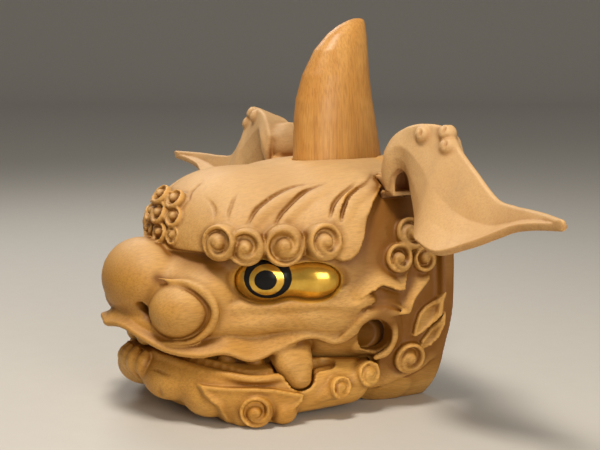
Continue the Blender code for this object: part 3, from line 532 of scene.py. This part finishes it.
def carve_cheek(head, core):
    for (y, z), radius, start, hand in [((108, 171), 16, 0, 1), ((92, 150), 14, 0.2, 1),
                                        ((121, 147), 12.5, 0.4, -1), ((109, 51), 16, 0.1, 1)]:
        p = core.side(y, z)
        scroll(head, p, core.slope(p), radius, 1.0, start, hand, 9, 7, 14, 2)
    for line, height, width in [
            ([(42.9, 112.8), (51.9, 116.6), (64.2, 123.1), (72.6, 126.1), (87.3, 120.6), (95.8, 119.9),
              (98.8, 126.4), (102.5, 133.3)], 8, 11),
            ([(90, 96.3), (102.2, 97.1), (105.4, 106.2), (116.4, 119), (125.6, 127.2), (126.5, 133.5)],
             8, 9),
            ([(60, 8), (71, 15), (91, 23), (105, 30), (121, 35), (135, 43)], 6, 9)]:
        ledge(head, core, line, height, width)
        groove = [(y + 0.6, z - 2.2) for y, z in line]
        strand(head, core, groove, [0.3, 1.6, 1.8, 1.6, 0.3], 0.3, 1, cut=True, count=60)
    petal(head, core, [(109.6, 71.5), (111, 83), (114.5, 94.6), (121, 101), (131.7, 106), (142, 114),
                       (139, 104), (138.4, 94), (130.6, 84), (120, 75.7)], 6)
    petal(head, core, [(142, 95), (142, 82), (138, 68), (130, 60), (117, 57), (120, 67), (131, 80)], 5)
    ring = [(112, 16, 78), (116, 30, 74), (121, 41, 83), (126, 50, 93), (128, 62, 100), (127, 76, 98.5),
            (125, 88, 87), (124, 90, 72), (123, 83, 59), (120, 73, 54)]
    head.add(tube(ring, [1.8, 2.6, 3.8, 4.8, 5.2, 5.2, 5, 4.8, 4, 2.5], 70), 1.5, 12)
    strand(head, core, [(44, 97), (58, 107), (77, 107), (95, 97), (101, 80), (98, 63), (87, 54)],
           [0.3, 1.4, 1.6, 1.6, 1.6, 1.4, 0.3], 0.4, 1, cut=True, count=60)
    head.add(ball((85, 84, 67), (15, 29, 29)), 2)
    head.cut(cord([(146, 57, 79), (120, 72, 75), (108, 74, 74), (92, 60, 74), (80, 40, 74)],
                  [18, 16.5, 15, 14, 12]), 1)


def carve_teeth(block, row, top, bottom):
    """Blunt teeth side by side along a bow, from a root height to a tip height."""
    for x, y in smooth_line(row, 6):
        block.add(cord([(x, y, top), (x, y, bottom)], [11, 9]), 2, 10)


def add_fang(block):
    """The long side tooth, broad at the lip and blunt at the tip."""
    for shift in (-9, 0, 9):
        aside = np.array([0.1 * shift, shift, 0])
        tip = np.array([109, -5, 41]) + 0.35 * aside
        block.add(cord([aside + (85, -6, 86), aside + (94, -8, 67), 0.7 * aside + (103, -7, 53), tip],
                       [11.5, 12.5, 12, 8.5]), 3, 12)


def carve_head(step):
    """The upper head: brow, nose, lip, cheeks and upper teeth round one hollow."""
    head = face_core(step)
    x, y, z = head.places()
    jowl = jowl_core(step)
    solid = smooth_min(head.field, jowl.field, 12)
    mouth_side = side_outline(head, [(-300, -60), (67, -60)] + SEAM[::-1]
                              + [(40, 74), (20, 90), (-300, 90)])
    head.field = smooth_min(head.field, smooth_max(jowl.field, -mouth_side, 1.5), 10)
    rim = Block(CARVE_LOW, CARVE_HIGH, step)
    rim.add(ball((0, 150, 125), (138, 60, 112), 2.6))
    head.field = smooth_min(head.field, smooth_max(rim.field, 138 - y, 4), 6)
    core = head.copy()
    brow = Block(CARVE_LOW, CARVE_HIGH, step)
    brow.add(ball((0, 100, 138), (138, 150, 99), 2.6))
    brow.add(ball((0, -22, 160), (99, 80, 72)), 22)
    brow.field = smooth_max(brow.field, side_outline(brow, BROW_EDGE), 2.5)
    head.field = smooth_min(head.field, brow.field, 4)
    skin = head.copy()
    carve_muzzle(head)
    head.cut(cord([(83, -50, 134), (102, -22, 133), (115, 3, 133), (123, 27, 134)],
                  [13, 15, 15, 12]), 5)
    carve_lip(head)
    out = eye_axes(*head.places())[2]
    head.field = smooth_max(head.field, -np.maximum(eye_outline(*head.places(), 1.0), -out - 2), 1.5)
    carve_brow(head, skin)
    backing = ball(EYE_CENTRE, np.array(EYE_RADII) + 9, turn=EYE_TURN).distance(*head.places())
    hollow = smooth_max(solid + WALL, -backing, 4)
    head.field = smooth_max(head.field, -hollow, 3)
    carve_cheek(head, core)
    mouth = side_outline(head, [(-62, -60), (125, -60), (125, 2), (92, 22), (72, 44), (62, 62),
                                (50, 86), (-62, 86)])
    head.field = smooth_max(head.field, -smooth_max(mouth, x - 78, 6), 3)
    carve_teeth(head, [(12, -118), (38, -106), (60, -84), (74, -54), (80, -24)], 84, 76)
    cheek = cord([(ARM_FACE_X, PIVOT_Y, PIVOT_Z), (130, PIVOT_Y, PIVOT_Z)],
                 2.4 * PIVOT_RADIUS, True)
    cheek_field = smooth_max(cheek.distance(*head.places()), solid, 2)
    head.field = smooth_min(head.field, cheek_field, 4)
    add_fang(head)
    head.field = np.maximum(head.field, -arm_room(head))
    return head, core


def finish_head(head):
    """Cut the seats, bores and plane faces that the part has."""
    x, y, z = head.places()
    foot = CROWN_Z - SEAT_DEPTH
    wide, deep, middle = horn_size(z - foot)
    seat = (np.sqrt((x / (wide + FIT_GAP)) ** 2 + ((y - middle) / (deep + FIT_GAP)) ** 2) - 1) * wide
    head.field = np.maximum(head.field, -np.maximum(seat, foot - FIT_GAP - z))
    low, high = np.array(TENON_LOW, float) - FIT_GAP, np.array(TENON_HIGH, float) + FIT_GAP
    high[2] = math.inf
    head.field = np.maximum(head.field, -brick(x, y, z, low, high))
    head.field = np.maximum(head.field, -eye_field(x, y, z, FIT_GAP))
    bore = np.maximum(np.hypot(y - PIVOT_Y, z - PIVOT_Z) - PIVOT_RADIUS - FIT_GAP,
                      x - (ARM_FACE_X + PIVOT_REACH + FIT_GAP))
    head.field = np.maximum(head.field, -np.maximum(bore, ARM_FACE_X - 6 - x))
    head.field = np.maximum(np.maximum(head.field, -z), y - BACK_Y)


def arm_line():
    return cord([(92, 34, 26), (82, 56, 20), (66, 84, 13), (66, PIVOT_Y, PIVOT_Z)], [15, 12, 11, 11])


def arm_room(block):
    """The space that the jaw's arm and its swing need inside the cheek."""
    x, y, z = block.places()
    swing = cord([(40, PIVOT_Y, PIVOT_Z), (ARM_FACE_X, PIVOT_Y, PIVOT_Z)], 14 + CARVED_GAP)
    low = cord([(82, 60, 18), (66, 84, 11), (66, PIVOT_Y, PIVOT_Z), (66, PIVOT_Y, -20)],
               12 + CARVED_GAP)
    room = smooth_min(swing.distance(x, y, z), low.distance(x, y, z), 2)
    return smooth_max(room, x - (ARM_FACE_X + CARVED_GAP), 0)


def carve_jaw(step, head):
    """The lower jaw: a trough with a bulging chin, curls along its sides and two arms."""
    jaw = Block(CARVE_LOW, (165, 157, 110), step)
    x, y, z = jaw.places()
    jaw.add(tube([(0, -103, 47), (30, -97, 44), (58, -82, 38), (78, -54, 31), (90, -18, 29),
                  (94, 20, 30), (95, 54, 30)], [22, 22, 24, 25, 25, 25, 24], 24))
    jaw.add(ball((0, -6, 30), (90, 100, 34), 2.6))
    jaw.add(ball((32, -101, 38), (32, 26, 21)), 5)
    jaw.add(ball((64, -74, 26), (26, 28, 22)), 5)
    skin = jaw.copy()
    leaf = side_outline(jaw, [(-97, 42), (-94, 33), (-89, 27), (-83, 22), (-79, 15), (-71, 4), (-62, -3),
                              (-52, -9), (-43, -4), (-36, 3), (-28, 1), (-20, 7), (-17, 16), (-10, 22),
                              (-8, 30), (-20, 33), (-35, 37), (-52, 39), (-77, 40)])
    raised = smooth_max(jaw.field - 4.5 - 3 * np.exp(-(leaf / 4) ** 2), leaf, 1.2)
    jaw.field = smooth_min(jaw.field, smooth_max(raised, 30 - x, 3), 1)
    p = skin.side(-50, 17)
    jaw.add(ball(p + np.array([-13, 0, -3]), (16, 19, 18)), 4)
    scroll(jaw, p + np.array([4, 0, 0]), (0.9, -0.42, -0.12), 15.5, 1.0, 0.3, 1, 8, 7.5, 14, 2)
    jaw.add(ball((108, -22, 14), (13, 14, 14)), 3)
    for (side_y, side_z), radius in [((30, 31), 11), ((64, 39), 12.5)]:
        p = skin.side(side_y, side_z)
        tail = skin.side(side_y - 28, side_z - 12)
        jaw.add(cord([p, tail - np.array([5, 0, 0])], [radius - 1, 4]), 3, 10)
        scroll(jaw, p + np.array([2, 0, 0]), (0.95, 0.1, 0.12), radius, 1.0, 0.2, 1, 9, 7.5, 12, 2)
    for x0, y0, high in ((0, -126, 63), (10, -125, 63), (20, -120, 61)):
        finger = [(x0, y0, high), (x0 + 1, y0 - 6, high - 11), (x0 - 2, y0 + 1, high - 25)]
        jaw.add(tube(finger, [4.5, 7, 6.5, 4.5], 8), 3.5)
    for route, radii in [
            ([(112, -44, 40), (103, -64, 42), (90, -83, 44), (76, -99, 44.5), (56, -115, 48), (31, -124, 50)],
             [0.4, 1.5, 1.8, 1.8, 1.6, 0.4]),
            ([(49, -126, 44), (52, -124, 36), (48, -120, 27), (40, -118, 20)], [0.5, 2.2, 2.4, 1]),
            ([(78, -100, 41), (66, -111, 35), (54, -119, 29), (46, -119, 24)], [0.5, 1.8, 1.8, 1]),
            ([(119, -46, 32), (120, -41, 24), (118, -40, 14)], [0.5, 2.2, 1])]:
        jaw.cut(tube(route, radii, 30), 1)
    rim = smooth_line([(0, -118, 61), (22, -114, 61), (46, -106, 58), (70, -90, 53), (92, -68, 48),
                       (104, -48, 45), (108, -24, 45), (107, 2, 43), (104, 30, 44)], 60)
    for point in rim[::2]:
        jaw.cut(cord([point + np.array([0, 0, 10]), point + np.array([0, 0, 24])], 10), 0)
    jaw.add(cord(rim, 4.2), 3, 10)
    jaw.cut(ball((0, 40, 66), (86, 142, 50), 2.6), 5)
    carve_teeth(jaw, [(12, -98), (38, -89), (60, -70), (77, -43), (84, -12)], 46, 59)
    seam = side_outline(jaw, [(-300, -60), (67, -60)] + SEAM[::-1] + [(40, 90), (-300, 90)])
    body = smooth_max(jaw.field, seam + JAW_GAP, 1)
    bar = arm_line().distance(x, y, z)
    bar = smooth_max(bar, x - ARM_FACE_X - np.clip((80 - y) * 1.2, 0, 60), 2)
    bar = smooth_max(bar, ARM_FACE_X - ARM_THICKNESS - x, 1)
    jaw.field = smooth_min(body, bar, 4)
    clear_swing(jaw, head)
    pin = np.maximum(np.hypot(y - PIVOT_Y, z - PIVOT_Z) - PIVOT_RADIUS,
                     np.maximum(x - ARM_FACE_X - PIVOT_REACH, ARM_FACE_X - 6 - x))
    jaw.field = np.maximum(np.minimum(jaw.field, pin), -z)
    return jaw


def clear_swing(jaw, head):
    """Take away what would come too near the upper head anywhere in the jaw's swing."""
    near = jaw.field < jaw.step
    places = np.argwhere(near) * jaw.step + jaw.low
    y, z = places[:, 1] - PIVOT_Y, places[:, 2] - PIVOT_Z
    for angle in np.radians(np.linspace(0, JAW_OPEN, 7)):
        opened = np.stack([places[:, 0], PIVOT_Y + y * math.cos(angle) - z * math.sin(angle),
                           PIVOT_Z + y * math.sin(angle) + z * math.cos(angle)], 1)
        space = np.where(opened[:, 2] > CARVE_LOW[2], head.value(opened), FAR)
        jaw.field[near] = np.maximum(jaw.field[near], CARVED_GAP - space)


def carve_ear(step, head):
    """The left ear: a broad leaf hanging from a hood, hollow below, with a root behind it."""
    ear = Block((84, 30, 150), (372, 160, 296), step)
    half = EAR_THICKNESS / 2
    count = 220
    rows = [smooth_line(line, count) for line in (EAR_FRONT, EAR_CREST, EAR_REAR)]
    sag = spread([-4, -5, -6, -7, -6, -2, 4, 8, 8, 5, 3, 2], count)
    for front, crest, rear, dip in zip(*rows, sag):
        middle = (front + crest) / 2 + np.array([0, dip, -dip * 0.5])
        below = (front + middle) / 2 + np.array([0, dip * 0.3, 0])
        over = np.array([crest[0], 0.55 * rear[1] + 0.45 * crest[1], 0.75 * crest[2] + 0.25 * rear[2]])
        ear.add(cord([front, below, middle, crest, over, rear], half, flat_start=True), 0.7, 8)
    ear.add(ball((118, 112, 238), (14, 24, 27)), 6)
    for centre in ((163.3, 92, 270), (187, 101, 273), (193, 98, 261)):
        bud(ear, centre, 8.5)
    x, y, z = (a.ravel() for a in np.broadcast_arrays(*ear.places()))
    near = head.value(np.stack([np.minimum(x, CARVE_HIGH[0] - 1), y, z], 1)).reshape(ear.size)
    near = np.where(ear.places()[0] > CARVE_HIGH[0] - 8, FAR, near)
    ear.field = np.maximum(ear.field, CARVED_GAP - near)
    x, y, z = ear.places()
    root = brick(x, y, z, (92, 89, 209), (124, 122, 226))
    ear.field = smooth_min(ear.field, np.maximum(root, CARVED_GAP - near), 4)
    niche = np.maximum(np.hypot(y - 100.5, np.maximum(z - 223, 0)) - 9.5, np.maximum(213 - z, 112 - x))
    ear.field = smooth_max(ear.field, -np.maximum(niche, x - 131), 1)
    ear.field = np.minimum(ear.field, brick(x, y, z, TENON_LOW, TENON_HIGH))
    return ear


def horn_size(height):
    """Half width, half depth and middle y of the horn at a height over its foot."""
    table = np.array(HORN_SECTIONS, float)
    return (np.interp(height, table[:, 0], table[:, k]) for k in (2, 3, 1))


def shaded(points, normals, blocks):
    """How far each point lies in a hollow and how far on an edge, from 0 to 1, for painted shade and painted
    highlight.
    """
    shut = np.zeros(len(points))
    for reach, weight in ((2.5, 0.32), (5, 0.25), (9, 0.2), (16, 0.13), (26, 0.1)):
        free = np.min([block.value(points + normals * reach) for block in blocks], axis=0)
        shut += weight * np.clip(1 - free / reach, 0, 1.2)
    # Thin wood at edges, which the material paints with a highlight
    thin = np.clip(1 + blocks[0].value(points - normals * 3.0) / 3.0, 0, 1)
    return np.clip(shut, 0, 1), thin


def painted_rear_shade(points, core):
    """Painted shade on the temple and the rear cheek's ground between the carvings, from 0 to 1."""
    behind = np.clip((points[:, 1] - 25) / 45, 0, 1) * np.clip((points[:, 2] - 15) / 30, 0, 1)
    below = np.clip((236 - points[:, 2]) / 20, 0, 1) * np.clip((points[:, 0] - 70) / 20, 0, 1)
    return behind * below * np.clip(1 - core.value(points) / 4.5, 0, 1)


def mark(mesh, name, values):
    mesh.attributes.new(name, "FLOAT", "POINT").data.foreach_set("value", values.astype(np.float32))


def dress(obj, blocks, triangles, body, node, core=None):
    """Place a carved mesh where its node is, thin it out, mark its hollows, edges and upward faces for
    painted shade and painted light, and let it ride.
    """
    mesh = obj.data
    scene.collection.objects.link(obj)
    count = sum(len(p.vertices) - 2 for p in mesh.polygons)
    if count > triangles:
        modifier = obj.modifiers.new("thin", "DECIMATE")
        modifier.ratio = triangles / count
        modifier.use_collapse_triangulate = True
        evaluated = obj.evaluated_get(bpy.context.evaluated_depsgraph_get())
        obj.modifiers.clear()
        obj.data = bpy.data.meshes.new_from_object(evaluated)
        mesh = obj.data
    points = np.empty(len(mesh.vertices) * 3)
    mesh.vertices.foreach_get("co", points)
    points = points.reshape(-1, 3)
    normals = np.empty(len(mesh.vertices) * 3)
    mesh.vertices.foreach_get("normal", normals)
    normals = normals.reshape(-1, 3)
    if blocks:
        fold = np.array([np.where(points[:, 0] < 0, -1, 1), np.ones(len(points)), np.ones(len(points))]).T
        hollow, edge = shaded(points * fold, normals * fold, blocks)
        if core is not None:
            # Painted shade on the temple and rear cheek, added to the painted shade of the hollows
            hollow = np.clip(hollow + 0.42 * painted_rear_shade(points * fold, core), 0, 1)
            x, y, z = (points * fold).T
            gilt = np.clip((1.9 - eye_outline(x, y, z, 0.0)) / 0.6, 0, 1) * (eye_axes(x, y, z)[2] > -3)
            gilt *= np.clip((core.value(points * fold) - 3) / -2, 0, 1)
            mark(mesh, "gilt", gilt)
        # The hollow mark carries painted shade in recesses, creases and places under other pieces
        mark(mesh, "hollow", hollow)
        mark(mesh, "edge", edge)
        # Painted light: upward-facing and higher surfaces are marked to be painted paler
        mark(mesh, "top", np.clip(0.75 * normals[:, 2] + (points[:, 2] - 150) / 160, 0, 1))
    low, high = (np.array(c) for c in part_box(node))
    points = np.clip(points * UNIT + SHIFT, low, high)
    mesh.vertices.foreach_set("co", points.ravel())
    mesh.polygons.foreach_set("use_smooth", [True] * len(mesh.polygons))
    mesh.update()
    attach(obj, body)
    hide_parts(node)
    return obj


def flipped(name, obj):
    """The same mesh for the other side, in the drawing's units."""
    mesh = obj.data.copy()
    mesh.name = name
    mesh.transform(Matrix.Diagonal((-1, 1, 1, 1)))
    mesh.flip_normals()
    return bpy.data.objects.new(name, mesh)


def build_horn():
    """The horn's skin through level rings of points, closed below and above."""
    levels, around = 90, 96
    turn = np.linspace(0, 2 * np.pi, around, endpoint=False)
    points, faces = [], []
    for i, t in enumerate(np.linspace(0, 1, levels)):
        height = 144 * (1 - (1 - t) ** 1.6)
        wide, deep, middle = (float(v) for v in horn_size(height))
        points += np.stack([wide * np.cos(turn), middle + deep * np.sin(turn),
                            np.full(around, CROWN_Z - SEAT_DEPTH + height)], 1).tolist()
        if i:
            faces += [((i - 1) * around + j, (i - 1) * around + (j + 1) % around,
                       i * around + (j + 1) % around, i * around + j) for j in range(around)]
    faces.append(tuple(range(around))[::-1])
    faces.append(tuple((levels - 1) * around + j for j in range(around)))
    mesh = bpy.data.meshes.new("horn_look")
    mesh.from_pydata(points, [], faces)
    return bpy.data.objects.new("horn_look", mesh)


def carve_eye(step):
    eye = Block((56, -62, 104), (128, 48, 160), step)
    eye.field = np.minimum(eye.field, eye_field(*eye.places(), 0.0))
    return eye


class Nodes:
    """A short way to write a material's node tree."""

    def __init__(self, name):
        self.material = bpy.data.materials.new(name)
        self.material.use_nodes = True
        self.tree = self.material.node_tree
        self.shader = self.tree.nodes["Principled BSDF"]

    def new(self, kind, settings=None, **inputs):
        node = self.tree.nodes.new(kind)
        for key, value in (settings or {}).items():
            setattr(node, key, value)
        for key, value in inputs.items():
            self.put(node.inputs[key.replace("_", " ")], value)
        return node

    def put(self, socket, value):
        if isinstance(value, bpy.types.NodeSocket):
            self.tree.links.new(value, socket)
        else:
            socket.default_value = value

    def shade(self, name, value):
        self.put(self.shader.inputs[name], value)

    def math(self, operation, a, b=0.0):
        node = self.tree.nodes.new("ShaderNodeMath")
        node.operation = operation
        self.put(node.inputs[0], a)
        self.put(node.inputs[1], b)
        return node.outputs[0]

    def times(self, a, b):
        return self.math("MULTIPLY", a, b)

    def mark(self, name):
        """The value that a mesh carries under a name."""
        return self.new("ShaderNodeAttribute", {"attribute_name": name}).outputs["Fac"]

    def noise(self, vector, scale, detail=3.0, rough=0.5):
        return self.new("ShaderNodeTexNoise", Vector=vector, Scale=scale, Detail=detail,
                        Roughness=rough).outputs["Fac"]

    def ramp(self, value, low, high):
        """The value stretched so that low gives 0 and high gives 1."""
        return self.new("ShaderNodeMapRange", Value=value, From_Min=low, From_Max=high).outputs[0]

    def mix(self, factor, a, b):
        node = self.tree.nodes.new("ShaderNodeMix")
        node.data_type = "RGBA"
        for socket, value in ((node.inputs[0], factor), (node.inputs[6], a), (node.inputs[7], b)):
            self.put(socket, value)
        return node.outputs[2]

    def stretched(self, vector, scale):
        return self.new("ShaderNodeMapping", Vector=vector, Scale=scale).outputs[0]


def wood(name, pale, deep, dark, grain=(1.0, 0.12, 1.0), gloss=0.50, carved=True):
    """Oiled carving wood: year bands, fibres and a faint smudge, with painted shade in the hollows, a painted
    highlight on thin edges and painted light on upward faces.
    """
    n = Nodes(name)
    place = n.new("ShaderNodeTexCoord").outputs["Object"]
    along = n.stretched(place, grain)
    bands = n.new("ShaderNodeTexWave", {"bands_direction": "DIAGONAL"}, Vector=along, Scale=26.0,
                  Distortion=5.0, Detail=3.0, Detail_Scale=1.2).outputs["Fac"]
    fibres = n.noise(n.stretched(place, tuple(g * 620 for g in grain)), 1.0, 4.0, 0.6)
    cloud = n.noise(place, 11.0, 3.0)
    colour = n.mix(n.ramp(cloud, 0.35, 0.68), (*pale, 1), (*deep, 1))
    colour = n.mix(n.times(n.ramp(bands, 0.45, 1.0), 0.42), colour, (*deep, 1))
    colour = n.mix(n.times(n.ramp(fibres, 0.42, 0.66), 0.34), colour, (*dark, 1))
    if carved:
        # Painted light: the wood is painted paler on upward-facing and higher surfaces
        top = n.mark("top")
        colour = n.mix(n.times(top, 0.45), colour, (*PAINTED_TOP_LIGHT_WOOD, 1))
        smudge = n.times(n.ramp(n.noise(place, 17.0, 4.0, 0.6), 0.60, 0.78), 0.22)
        colour = n.mix(smudge, colour, (*SMUDGE, 1))
        hollow = n.mark("hollow")
        edge = n.mark("edge")
        # Painted shade: hollows, creases and places under overhangs are painted towards the dark colour
        sunk = n.times(n.ramp(hollow, 0.04, 0.5), 0.95)
        colour = n.mix(sunk, colour, (*dark, 1))
        # Painted highlight: thin edges are painted paler
        painted_edge_highlight = n.times(n.ramp(edge, 0.3, 0.8), 0.6)
        colour = n.mix(painted_edge_highlight, colour, (*[min(1, c * 1.25) for c in pale], 1))
        gilt = n.mark("gilt")
        colour = n.mix(gilt, colour, (*GILT, 1))
        n.shade("Metallic", n.times(gilt, 0.6))
    n.shade("Base Color", colour)
    rough = n.math("ADD", gloss - 0.06, n.times(n.noise(place, 60.0, 3.0), 0.18))
    n.shade("Roughness", n.math("ADD", rough, n.times(fibres, 0.05)))
    tool = n.noise(place, 95.0, 2.0)
    height = n.math("ADD", n.times(fibres, 0.35), n.times(tool, 1.0))
    bump = n.new("ShaderNodeBump", Strength=0.35, Distance=0.0006, Height=height)
    n.shade("Normal", bump.outputs[0])
    n.shade("Specular IOR Level", 0.4)
    return n.material


def gilding(name, side):
    """Gold leaf with black rings round a black pupil, drawn about the pupil's place."""
    n = Nodes(name)
    place = n.new("ShaderNodeTexCoord").outputs["Object"]
    pupil = PUPIL * UNIT * np.array((side, 1, 1)) + SHIFT
    aside = n.new("ShaderNodeVectorMath", {"operation": "SUBTRACT"})
    n.put(aside.inputs[0], place)
    aside.inputs[1].default_value = pupil
    ct, st = math.cos(math.radians(EYE_TURN)), math.sin(math.radians(EYE_TURN))
    sideways = n.new("ShaderNodeVectorMath", {"operation": "DOT_PRODUCT"})
    n.put(sideways.inputs[0], aside.outputs[0])
    sideways.inputs[1].default_value = (-st * side, ct, 0)
    upward = n.new("ShaderNodeSeparateXYZ", Vector=aside.outputs[0]).outputs["Z"]
    wobble = n.times(n.math("SUBTRACT", n.noise(place, 300.0), 0.5), 0.0008)

    def away(shift, lift):
        across = n.times(n.math("SUBTRACT", sideways.outputs["Value"], shift), 1 / 1.12)
        high = n.math("SUBTRACT", upward, lift)
        flat = n.math("SQRT", n.math("ADD", n.times(across, across), n.times(high, high)))
        return n.math("ADD", flat, wobble)

    disc = n.ramp(away(0, 0), 0.0096, 0.0092)
    ring = n.times(n.ramp(away(0.0010, 0), 0.0142, 0.0146),
                  n.ramp(away(0.0022, 0.0020), 0.0202, 0.0198))
    black = n.math("MAXIMUM", disc, ring)
    leaf = n.noise(place, 90.0, 4.0, 0.6)
    gold = n.mix(n.ramp(leaf, 0.3, 0.75), (0.78, 0.49, 0.085, 1), (0.56, 0.31, 0.035, 1))
    n.shade("Base Color", n.mix(black, gold, (0.012, 0.012, 0.013, 1)))
    n.shade("Metallic", n.times(n.math("SUBTRACT", 1.0, black), 0.7))
    n.shade("Roughness", n.math("ADD", 0.14, n.times(leaf, 0.14)))
    bump = n.new("ShaderNodeBump", Strength=0.25, Distance=0.0003, Height=n.noise(place, 240.0, 3.0))
    n.shade("Normal", bump.outputs[0])
    n.shade("Specular IOR Level", n.math("SUBTRACT", 0.4, n.times(black, 0.3)))
    return n.material


def plain(name, colour, rough):
    n = Nodes(name)
    place = n.new("ShaderNodeTexCoord").outputs["Object"]
    speck = n.noise(place, 40.0, 3.0)
    darker = tuple(c * 0.96 for c in colour)
    n.shade("Base Color", n.mix(speck, (*colour, 1), (*darker, 1)))
    n.shade("Roughness", n.math("ADD", rough, n.times(speck, 0.1)))
    return n.material


# The drawing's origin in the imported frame, from the horn's middle and the head's flat back
horn_low, horn_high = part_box("horn")
_, head_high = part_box("head")
SHIFT = np.array([(horn_low.x + horn_high.x) / 2, head_high.y - BACK_Y * UNIT, 0])

head_block, face_block = carve_head(CARVING_STEP)
jaw_block = carve_jaw(CARVING_STEP, head_block)
ear_block = carve_ear(EAR_STEP, head_block)
finish_head(head_block)
head = dress(skin_mesh("head_look", head_block, True), [head_block, ear_block], 196000,
             "upper_head", "head", face_block)
jaw = dress(skin_mesh("jaw_look", jaw_block, True), [jaw_block, head_block], 150000, "lower_jaw", "jaw")
ear_left = skin_mesh("ear_left_look", ear_block)
ear_right = flipped("ear_right_look", ear_left)
dress(ear_left, [ear_block, head_block], 100000, "upper_head", "ear_left")
dress(ear_right, [ear_block, head_block], 100000, "upper_head", "ear_right")
horn = dress(build_horn(), [], 60000, "upper_head", "horn")
eye_block = carve_eye(0.8)
eye_left = skin_mesh("eye_left_look", eye_block)
eye_right = flipped("eye_right_look", eye_left)
dress(eye_left, [], 20000, "upper_head", "eye_left")
dress(eye_right, [], 20000, "upper_head", "eye_right")

carving_wood = wood("carved_wood", (0.57, 0.315, 0.085), (0.47, 0.225, 0.036), (0.19, 0.066, 0.001))
# The jaw's wood is a paler copy of the carving wood: painted light on the jaw
jaw_wood_painted_lighter = wood("carved_jaw_wood", (0.66, 0.37, 0.090), (0.54, 0.26, 0.042), (0.22, 0.076, 0.001))
ear_wood = wood("ear_wood", (0.62, 0.38, 0.15), (0.54, 0.29, 0.09), (0.30, 0.11, 0.018))
horn_wood = wood("horn_wood", (0.60, 0.32, 0.09), (0.47, 0.21, 0.042), (0.20, 0.06, 0.008),
                 grain=(1.0, 1.0, 0.08), gloss=0.36, carved=False)
for piece, look in ((head, carving_wood), (jaw, jaw_wood_painted_lighter), (ear_left, ear_wood),
                    (ear_right, ear_wood), (horn, horn_wood),
                    (eye_left, gilding("gilt_left", 1)), (eye_right, gilding("gilt_right", -1))):
    piece.data.materials.clear()
    piece.data.materials.append(look)

# Studio: pale floor and backdrop in one sweep, soft lights, and the camera at the photograph's angle
SWEEP_START, SWEEP_RADIUS, SWEEP_TOP, SWEEP_WIDE = 6.0, 1.5, 5.0, 9.0
profile = [(-SWEEP_START - 1, 0.0), (SWEEP_START, 0.0)]
profile += [(SWEEP_START + SWEEP_RADIUS * math.sin(a), SWEEP_RADIUS - SWEEP_RADIUS * math.cos(a))
            for a in np.linspace(0.1, math.pi / 2, 16)]
profile += [(SWEEP_START + SWEEP_RADIUS, SWEEP_TOP)]
CAMERA_AZIMUTH, CAMERA_HEIGHT_ANGLE = math.radians(60), math.radians(8.352)
CAMERA_PLACE, CAMERA_LENS = (1.0736, -0.5612, 0.350), 73.56     # metres from the drawing's origin, mm
LIGHT_AIM_HEIGHT = 0.17
right = Vector((math.cos(CAMERA_AZIMUTH), math.sin(CAMERA_AZIMUTH), 0))
ahead = Vector((-math.sin(CAMERA_AZIMUTH) * math.cos(CAMERA_HEIGHT_ANGLE),
                math.cos(CAMERA_AZIMUTH) * math.cos(CAMERA_HEIGHT_ANGLE), -math.sin(CAMERA_HEIGHT_ANGLE)))
level = Vector((ahead.x, ahead.y, 0)).normalized()
verts = []
for along, up in profile:
    for across in (-SWEEP_WIDE, SWEEP_WIDE):
        verts.append(tuple(right * across + level * along + Vector((0, 0, up))))
faces = [(2 * i, 2 * i + 1, 2 * i + 3, 2 * i + 2) for i in range(len(profile) - 1)]
mesh = bpy.data.meshes.new("studio_floor")
mesh.from_pydata(verts, [], faces)
mesh.polygons.foreach_set("use_smooth", [True] * len(mesh.polygons))
floor = bpy.data.objects.new("studio_floor", mesh)
scene.collection.objects.link(floor)
mesh.materials.append(plain("studio_paper", (0.56, 0.55, 0.53), 0.7))


def area_light(name, aside, nearer, high, size, power, colour):
    """A soft light aimed at the mask, placed by the camera's right, towards the camera, and up."""
    place = tuple(right * aside - level * nearer + Vector((0, 0, high)))
    data = bpy.data.lights.new(name, "AREA")
    data.shape, data.size, data.size_y = "RECTANGLE", size[0], size[1]
    data.energy, data.color = power, colour
    light = bpy.data.objects.new(name, data)
    light.location = place
    aim = Vector((0, 0, LIGHT_AIM_HEIGHT)) - Vector(place)
    light.rotation_euler = aim.to_track_quat("-Z", "Y").to_euler()
    scene.collection.objects.link(light)


area_light("key", -0.15, 0.55, 1.65, (0.4, 0.4), 23, (1.0, 0.90, 0.76))
area_light("fill", 0.7, 1.5, 0.5, (0.7, 0.7), 13, (1.0, 0.90, 0.74))
area_light("rim", -0.6, -1.1, 1.4, (0.9, 0.5), 10, (1.0, 0.96, 0.9))
world = bpy.data.worlds.new("studio_air")
world.use_nodes = True
world.node_tree.nodes["Background"].inputs["Color"].default_value = (0.97, 0.90, 0.80, 1)
world.node_tree.nodes["Background"].inputs["Strength"].default_value = 0.24
scene.world = world

camera_data = bpy.data.cameras.new("camera")
camera_data.lens, camera_data.sensor_width = CAMERA_LENS, 36
camera = bpy.data.objects.new("camera", camera_data)
up = right.cross(ahead)
camera.matrix_world = Matrix.Translation(Vector(CAMERA_PLACE) + Vector(SHIFT)) @ Matrix(
    (right, up, -ahead)).transposed().to_4x4()
scene.collection.objects.link(camera)
scene.camera = camera
scene.view_settings.view_transform = "Standard"
